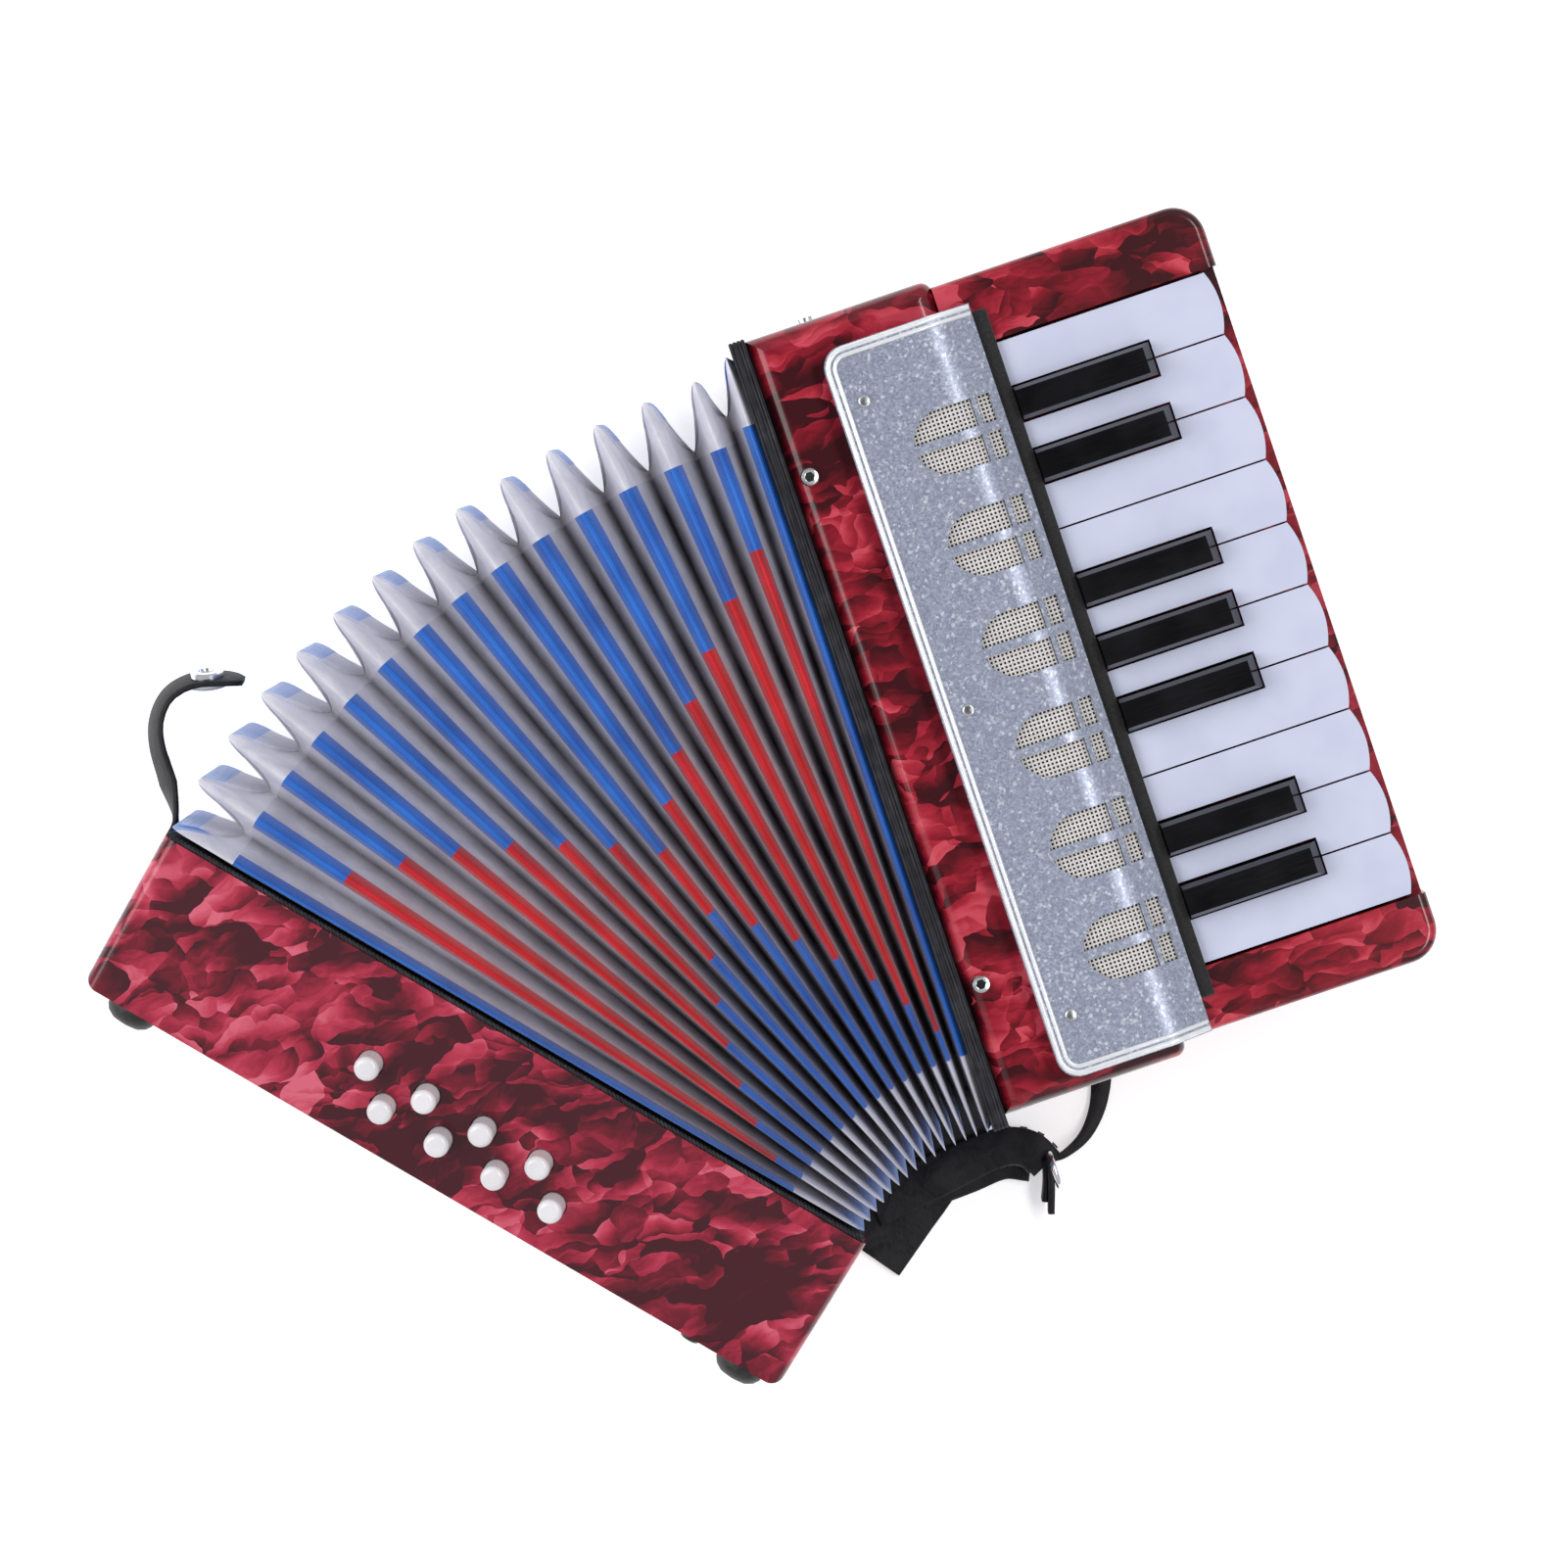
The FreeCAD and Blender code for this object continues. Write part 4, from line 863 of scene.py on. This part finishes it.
def rolled_bead(name, low, high, ridge, inset, bead):
    """One smooth bead along the grille's three free edges, over the ridge and down its slope."""
    left, bottom, top = low.x + inset, low.y + inset, high.y - inset
    radius = 6.4 * MM - inset
    z, drop = high.z, high.z - SLOPE_DROP
    corner = [(left + radius * (1 - math.cos(a)), top - radius * (1 - math.sin(a)))
              for a in [math.pi / 2 * s / 6 for s in range(7)]]
    route = [Vector((high.x - 0.5 * MM, top, drop)), Vector((ridge + 1.5 * MM, top, z - 0.6 * MM)),
             Vector((ridge - 1.5 * MM, top, z))]
    route += [Vector((x, y, z)) for x, y in reversed(corner)]
    route += [Vector((x, bottom + top - y, z)) for x, y in corner]
    route += [Vector((ridge - 1.5 * MM, bottom, z)), Vector((ridge + 1.5 * MM, bottom, z - 0.6 * MM)),
              Vector((high.x - 0.5 * MM, bottom, drop))]
    curve = bpy.data.curves.new("border_route", "CURVE")
    curve.dimensions = "3D"
    spline = curve.splines.new("POLY")
    spline.points.add(len(route) - 1)
    for point, place in zip(spline.points, route):
        point.co = (*place, 1)
    curve.bevel_depth, curve.bevel_resolution = bead, 4
    curve.use_fill_caps = True
    holder = bpy.data.objects.new("border_route", curve)
    bpy.context.scene.collection.objects.link(holder)
    mesh = bpy.data.meshes.new_from_object(holder.evaluated_get(bpy.context.evaluated_depsgraph_get()))
    bpy.data.objects.remove(holder)
    border = bpy.data.objects.new(name, mesh)
    mesh.materials.clear()
    mesh.materials.append(BORDER)
    mesh.polygons.foreach_set("use_smooth", [True] * len(mesh.polygons))
    bpy.context.scene.collection.objects.link(border)
    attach(border, "treble")


FELT_WIDTH, FELT_THICK, FELT_RISE = 5.2 * MM, 1.4 * MM, 0.4 * MM
PINS = (("upper", 70), ("lower", -74))
SCREWS = (("upper", 84.3), ("middle", -2.7), ("lower", -89.0))
PIN_SETBACK, SCREW_SETBACK = 5 * MM, 25.2 * MM
PIN_RIM = [(2.55, 0.0), (2.55, 1.3), (2.25, 1.75), (1.75, 1.85), (1.45, 1.6), (0.2, 1.55)]
PIN_SOCKET = [(1.35, 1.5), (1.35, 1.72)]
SCREW_RING = [(1.75, 0.0), (1.75, 0.12)]
SCREW_CAP = [(1.3, 0.0), (1.3, 0.7), (1.0, 1.05), (0.3, 1.15)]


def grille_fittings():
    """The grille's two beads, the gauze behind its sound holes and the felt strip beside the keys."""
    low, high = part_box("grille")
    ridge = high.x - RIDGE_SETBACK
    rolled_bead("grille_border_outer", low, high, ridge, 0.95 * MM, 0.75 * MM)
    rolled_bead("grille_border_inner", low, high, ridge, 2.75 * MM, 0.62 * MM)
    gauze_panels(low, high, ridge)
    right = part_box("grille_gauze_and_felt")[1].x
    left, top = right - FELT_WIDTH, treble_high.z + FELT_RISE
    bottom = top - FELT_THICK
    points = []
    for y in (low.y + 9 * MM, high.y - 2.5 * MM):
        points += [(left, y, bottom), (right, y, bottom), (right, y, top), (left, y, top)]
    faces = [(0, 1, 2, 3), (7, 6, 5, 4), (0, 4, 5, 1), (1, 5, 6, 2), (2, 6, 7, 3), (3, 7, 4, 0)]
    strip = rounded(piece("key_slot_felt", points, faces, [FELT]), 0.4 * MM)
    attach(apply_modifiers(strip), "treble")


def sockets():
    """Black hexagons on the two pins as painted shade for their sockets, and rims and caps on the grille's
    screws.
    """
    middle = (treble_low.y + treble_high.y) / 2
    for name, y in PINS:
        place = Vector((treble_low.x + PIN_SETBACK, middle + y * MM, treble_high.z))
        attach(lathe(f"pin_rim_{name}", PIN_RIM, place, UP, [CHROME]), "treble")
        # Painted shade: a black hexagon stands in for the shaded hollow of the pin's hexagon socket.
        socket = lathe(f"pin_socket_{name}", PIN_SOCKET, place, UP, [BLACK_PLASTIC], 6)
        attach(socket, "treble")
    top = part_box("grille")[1].z
    for name, y in SCREWS:
        place = Vector((treble_low.x + SCREW_SETBACK, middle + y * MM, top))
        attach(lathe(f"screw_shade_{name}", SCREW_RING, place, UP, [STEEL]), "treble")
        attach(lathe(f"screw_cap_{name}", SCREW_CAP, place, UP, [CHROME]), "treble")


casings()
grille_fittings()
sockets()


# ---- Bass side's small pieces ----

FOOT_DOME = [(7.3, 0.0), (7.3, 0.8), (6.9, 2.4), (5.9, 3.9), (4.2, 5.0), (2.2, 5.35), (0.6, 5.4)]
FEET = [(-98.3, 20), (-98.3, 58), (95.2, 20), (95.2, 58)]
CLOSER_ROUTE = [(-13, 0.8), (-6, 0.9), (0, 1.1), (6.0, 2.6), (13.3, 9.2), (20.8, 17.1), (27.3, 21.0),
        (34.6, 21.6), (41.0, 18.1), (45.2, 12.5), (47.4, 8.4), (48.5, 5.4)]
CLOSER_WIDTH, CLOSER_THICK, CLOSER_POINTS = 13 * MM, 1.6 * MM, 70
CLOSER_TIP = [0.99, 0.96, 0.9, 0.8, 0.64, 0.42]
SNAP_CAP = [(6.3, -0.2), (6.3, 0.0), (6.3, 0.5), (6.0, 0.9), (5.2, 1.25), (3.4, 1.6), (1.6, 1.75),
        (0.3, 1.8)]
SNAP_SOCKET = [(4.6, 0.0), (4.6, 1.2), (4.2, 1.6), (2.4, 1.6), (2.2, 0.9), (0.3, 0.8)]
TAB_SCREW = [(2.4, 0.0), (2.4, 0.35), (1.9, 0.9), (0.9, 1.15), (0.2, 1.2)]


def closer_lean(i):
    """How far the bellows strap leans over at its point i, in degrees: it twists after its root."""
    return 26 * min(max((i - 14) / 12, 0), 1) - 14 * max((i - 26) / 43, 0)


def bass_fittings():
    """Rubber feet and the bellows strap, from its screwed-down tab to its press stud."""
    middle = (bass_high.y + bass_low.y) / 2
    for index, (y, z) in enumerate(FEET):
        place = BASS.row(bass_low.x, middle + y * MM, z * MM)
        foot = lathe(f"rubber_foot_{index + 1}", FOOT_DOME, place, BASS.way(-1, 0, 0), [RUBBER])
        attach(foot, "bass")
        if index == 0:
            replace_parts(foot, "bass_small_fittings")
    strap_low, strap_high = BASS.box("bellows_strap")
    root = Vector((strap_low.x, bass_high.y + 0.3 * MM, 0))
    centre_z = (strap_low.z + strap_high.z) / 2
    points = [BASS.row(root.x + x * MM, root.y + y * MM, centre_z) for x, y in CLOSER_ROUTE]
    path = smooth_path(points, CLOSER_POINTS)
    sides = []
    for i in range(len(path)):
        lean = math.radians(closer_lean(i))
        sides.append(-UP * math.cos(lean) + UP.cross(heading(path, i)) * math.sin(lean))
    widths = [1.0] * (len(path) - len(CLOSER_TIP)) + CLOSER_TIP
    band = strap("bellows_strap_leather", path, sides, CLOSER_WIDTH, CLOSER_THICK, [LEATHER],
            widths)
    pivot = Vector(joints["bellows_strap_flex"]["pos_m"])
    pivot.z = centre_z
    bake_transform(band)
    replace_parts(band, "bellows_strap")
    sewn = stitches("bellows_strap_stitches", path[22:58], sides[22:58], 5.0 * MM, 0.85 * MM, 3.2 * MM)
    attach(sewn, "bellows_strap")
    stud = path[-10]
    out = sides[-10].cross((path[-8] - path[-12]).normalized()).normalized()
    lift = out * CLOSER_THICK / 2
    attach(lathe("strap_snap_cap", SNAP_CAP, stud + lift, out, [PEARL_CAP]), "bellows_strap")
    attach(lathe("strap_snap_socket", SNAP_SOCKET, stud - lift, -out, [CHROME]),
            "bellows_strap")
    tab = BASS.row(root.x - 6 * MM, root.y + 1.7 * MM, centre_z)
    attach(lathe("strap_tab_screw", TAB_SCREW, tab, BASS.way(0, 1, 0), [CHROME]), "bass")


def bass_button_springs():
    """The springs under the buttons, split one by one, each found by its own button's axis."""
    mesh = nodes["bass_springs"].data
    corners = [tuple(round(c, 7) for c in vertex.co) for vertex in mesh.vertices]
    leader = {corner: corner for corner in corners}

    def top(corner):
        while leader[corner] != corner:
            leader[corner] = leader[leader[corner]]
            corner = leader[corner]
        return corner

    for polygon in mesh.polygons:
        first = top(corners[polygon.vertices[0]])
        for index in polygon.vertices[1:]:
            leader[top(corners[index])] = first
    for number in range(1, 9):
        joint = joints[f"bass_button_{number}_press"]
        axis = Vector(joint["axis"]).normalized()
        button_low, button_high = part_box(f"bass_button_{number}")
        button = (button_low + button_high) / 2

        def off_axis(corner):
            away = Vector(corner) - button
            return (away - axis * away.dot(axis)).length

        owner = top(min(leader, key=off_axis))
        faces = [[corners[index] for index in polygon.vertices] for polygon in mesh.polygons
                 if top(corners[polygon.vertices[0]]) == owner]
        points = sorted({corner for face in faces for corner in face})
        order = {corner: index for index, corner in enumerate(points)}
        faces = [[order[corner] for corner in face] for face in faces]
        spring = piece(f"bass_spring_{number}", points, faces, [STEEL])
        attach(spring, "bass")
        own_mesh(spring)
        if number == 1:
            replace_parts(spring, "bass_springs")


bass_fittings()
bass_button_springs()


# ---- Straps ----

def flat_sides(path):
    """Directions across a path that lies flat."""
    return [UP.cross(heading(path, i)) for i in range(len(path))]


# Each run of the shoulder strap: its name, its width and the share of it at each end, whether it stands on
# edge, whether it is sewn, and its route. The routes start at the treble casing's left side, half-way up.
SHOULDER_RUNS = [
    ("band", 24, None, False, True,
     [(-50.6, -143.6, 1), (-38, -134.2, 1), (-26, -125.2, 1), (-15, -113, 1), (-9, -90, 1), (2, -20, 1),
      (13, 56, 1)]),
    ("fold", 24, None, False, True, [(4, 61, 1), (40, 53, 1), (74, 45, 1), (98, 39, 1)]),
    ("upper", 18, None, False, True, [(104, 32, 1.1), (80, 50, 1.1), (56, 68, 1.1), (33, 87, 1.1)]),
    ("loop", 14, (1.0, 0.72), False, True,
     [(-44, -131, 3.2), (-34, -130, 3.4), (-20, -128.5, 4), (-8, -127, 5), (-1, -127.4, 6),
      (4.0, -130.2, 7), (6.8, -135.5, 7.4)]),
    ("under", 12.5, (1.0, 0.8), False, False,
     [(-30, -131.5, 1.6), (-16, -131.5, 1.8), (-5, -131.2, 2.4), (2.5, -134.5, 3.6)]),
    ("tip", 9, (1.0, 0.6), True, False, [(8.2, -133.0, 8), (6.6, -140, 8), (3.6, -149, 7)]),
    ("keeper", 8, None, True, False, [(7.0, -134.0, 6), (5.2, -140, 5.6), (3.0, -145.2, 5.2)]),
    ("tail", 8.5, (0.2, 1.0), False, False,
     [(8.4, -134.5, 8.0), (13, -134.4, 6.0), (20, -131.5, 3.0), (26, -125, 1.4), (30, -116, 1.1),
      (31.5, -107, 1.1), (31.5, -100.5, 1.6)]),
]
SHOULDER_THICK, SHOULDER_POINTS = 1.9 * MM, 40
STITCH_INSET, STITCH_LIFT, STITCH_PITCH = 1.6, 0.98 * MM, 3.4 * MM


def lying_strap():
    """The shoulder strap under the instrument: two layers that meet at a metal ring, and a narrow tail."""
    x0, y0 = treble_low.x, (treble_low.y + treble_high.y) / 2
    for name, width, ends, upright, sewn, route in SHOULDER_RUNS:
        name = "shoulder_strap_" + name
        path = smooth_path([Vector((x0 + x * MM, y0 + y * MM, z * MM)) for x, y, z in route],
                SHOULDER_POINTS)
        sides = [UP] * len(path) if upright else flat_sides(path)
        widths = None
        if ends:
            widths = [ends[0] + (ends[1] - ends[0]) * i / (len(path) - 1) for i in range(len(path))]
        made = strap(name, path, sides, width * MM, SHOULDER_THICK, [LEATHER], widths)
        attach(made, "treble")
        if sewn:
            offset = (width / 2 - STITCH_INSET) * MM
            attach(stitches(name + "_stitches", path, sides, offset, STITCH_LIFT, STITCH_PITCH), "treble")
        if name == "shoulder_strap_band":
            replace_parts(made, "shoulder_strap")


lying_strap()
paint(["wrist_strap"], LEATHER)
rounded(nodes["wrist_strap"], 0.5 * MM)


# ---- Floor, light and camera ----

def soft_lamp(name, place, aim, width, height, power):
    """A rectangular soft lamp that faces a point."""
    light = bpy.data.lights.new(name, "AREA")
    light.shape, light.size, light.size_y, light.energy = "RECTANGLE", width, height, power
    lamp = bpy.data.objects.new(name, light)
    lamp.location = place
    lamp.rotation_euler = (Vector(aim) - Vector(place)).to_track_quat("-Z", "Y").to_euler()
    bpy.context.scene.collection.objects.link(lamp)


FLOOR_HALF, FLOOR_DROP = 8, 0.3 * MM
WORLD_STOPS = ((0.0, 0.36), (0.45, 0.56), (0.86, 0.54), (0.97, 0.10))
FOCAL_PIXELS, IMAGE_WIDTH, SENSOR = 5000, 1601, 36.0
CAMERA_OFFSET, CAMERA_HEIGHT = (-2.34 * MM, 150.99 * MM), 1399.86 * MM
CAMERA_TURN = (-0.03996, 0.00704, -0.32601)


def studio():
    """A plain white floor, soft light and the camera."""
    floor_mesh = bpy.data.meshes.new("floor")
    half = FLOOR_HALF
    floor_mesh.from_pydata([(-half, -half, 0), (half, -half, 0), (half, half, 0), (-half, half, 0)], [],
            [(0, 1, 2, 3)])
    floor = bpy.data.objects.new("floor", floor_mesh)
    floor.location.z = -FLOOR_DROP
    s = Shader("pale_floor")
    tone = s.noise(s.coords(), 3.0, 2.0)
    s.set(Base_Color=s.ramp(tone, [(0.3, (0.90, 0.90, 0.91)), (0.7, (0.92, 0.92, 0.93))]), Roughness=0.95,
          Specular_IOR_Level=0.1, Emission_Color=(1.0, 1.0, 1.0, 1), Emission_Strength=0.46)
    floor_mesh.materials.append(s.material)
    bpy.context.scene.collection.objects.link(floor)
    world = bpy.data.worlds.new("soft_white")
    world.use_nodes = True
    tree = world.node_tree
    place = tree.nodes.new("ShaderNodeTexCoord")
    split = tree.nodes.new("ShaderNodeSeparateXYZ")
    fade = tree.nodes.new("ShaderNodeValToRGB")
    tree.links.new(place.outputs["Generated"], split.inputs[0])
    tree.links.new(split.outputs["Z"], fade.inputs["Fac"])
    tree.links.new(fade.outputs["Color"], tree.nodes["Background"].inputs["Color"])
    stops = fade.color_ramp.elements
    stops.new(0.5)
    stops.new(0.9)
    for stop, (position, grey) in zip(stops, WORLD_STOPS):
        stop.position = position
        stop.color = (grey, grey, grey * 1.03, 1)
    tree.nodes["Background"].inputs["Strength"].default_value = 1.0
    bpy.context.scene.world = world
    soft_lamp("left_window", (-1.05, 0.55, 1.15), (0, 0, 0.04), 1.1, 1.1, 13.5)
    soft_lamp("right_strip", (0.66, -0.10, 1.30), (0.05, 0, 0.08), 1.2, 0.26, 8.5)
    camera = bpy.data.objects.new("camera", bpy.data.cameras.new("camera"))
    camera.data.lens = SENSOR * FOCAL_PIXELS / IMAGE_WIDTH
    camera.data.sensor_width = SENSOR
    camera.data.clip_start = 0.05
    camera.location = (treble_low.x + CAMERA_OFFSET[0], treble_low.y + CAMERA_OFFSET[1], CAMERA_HEIGHT)
    camera.rotation_euler = CAMERA_TURN
    bpy.context.scene.collection.objects.link(camera)
    bpy.context.scene.camera = camera
    bpy.context.scene.view_settings.view_transform = "Standard"


studio()
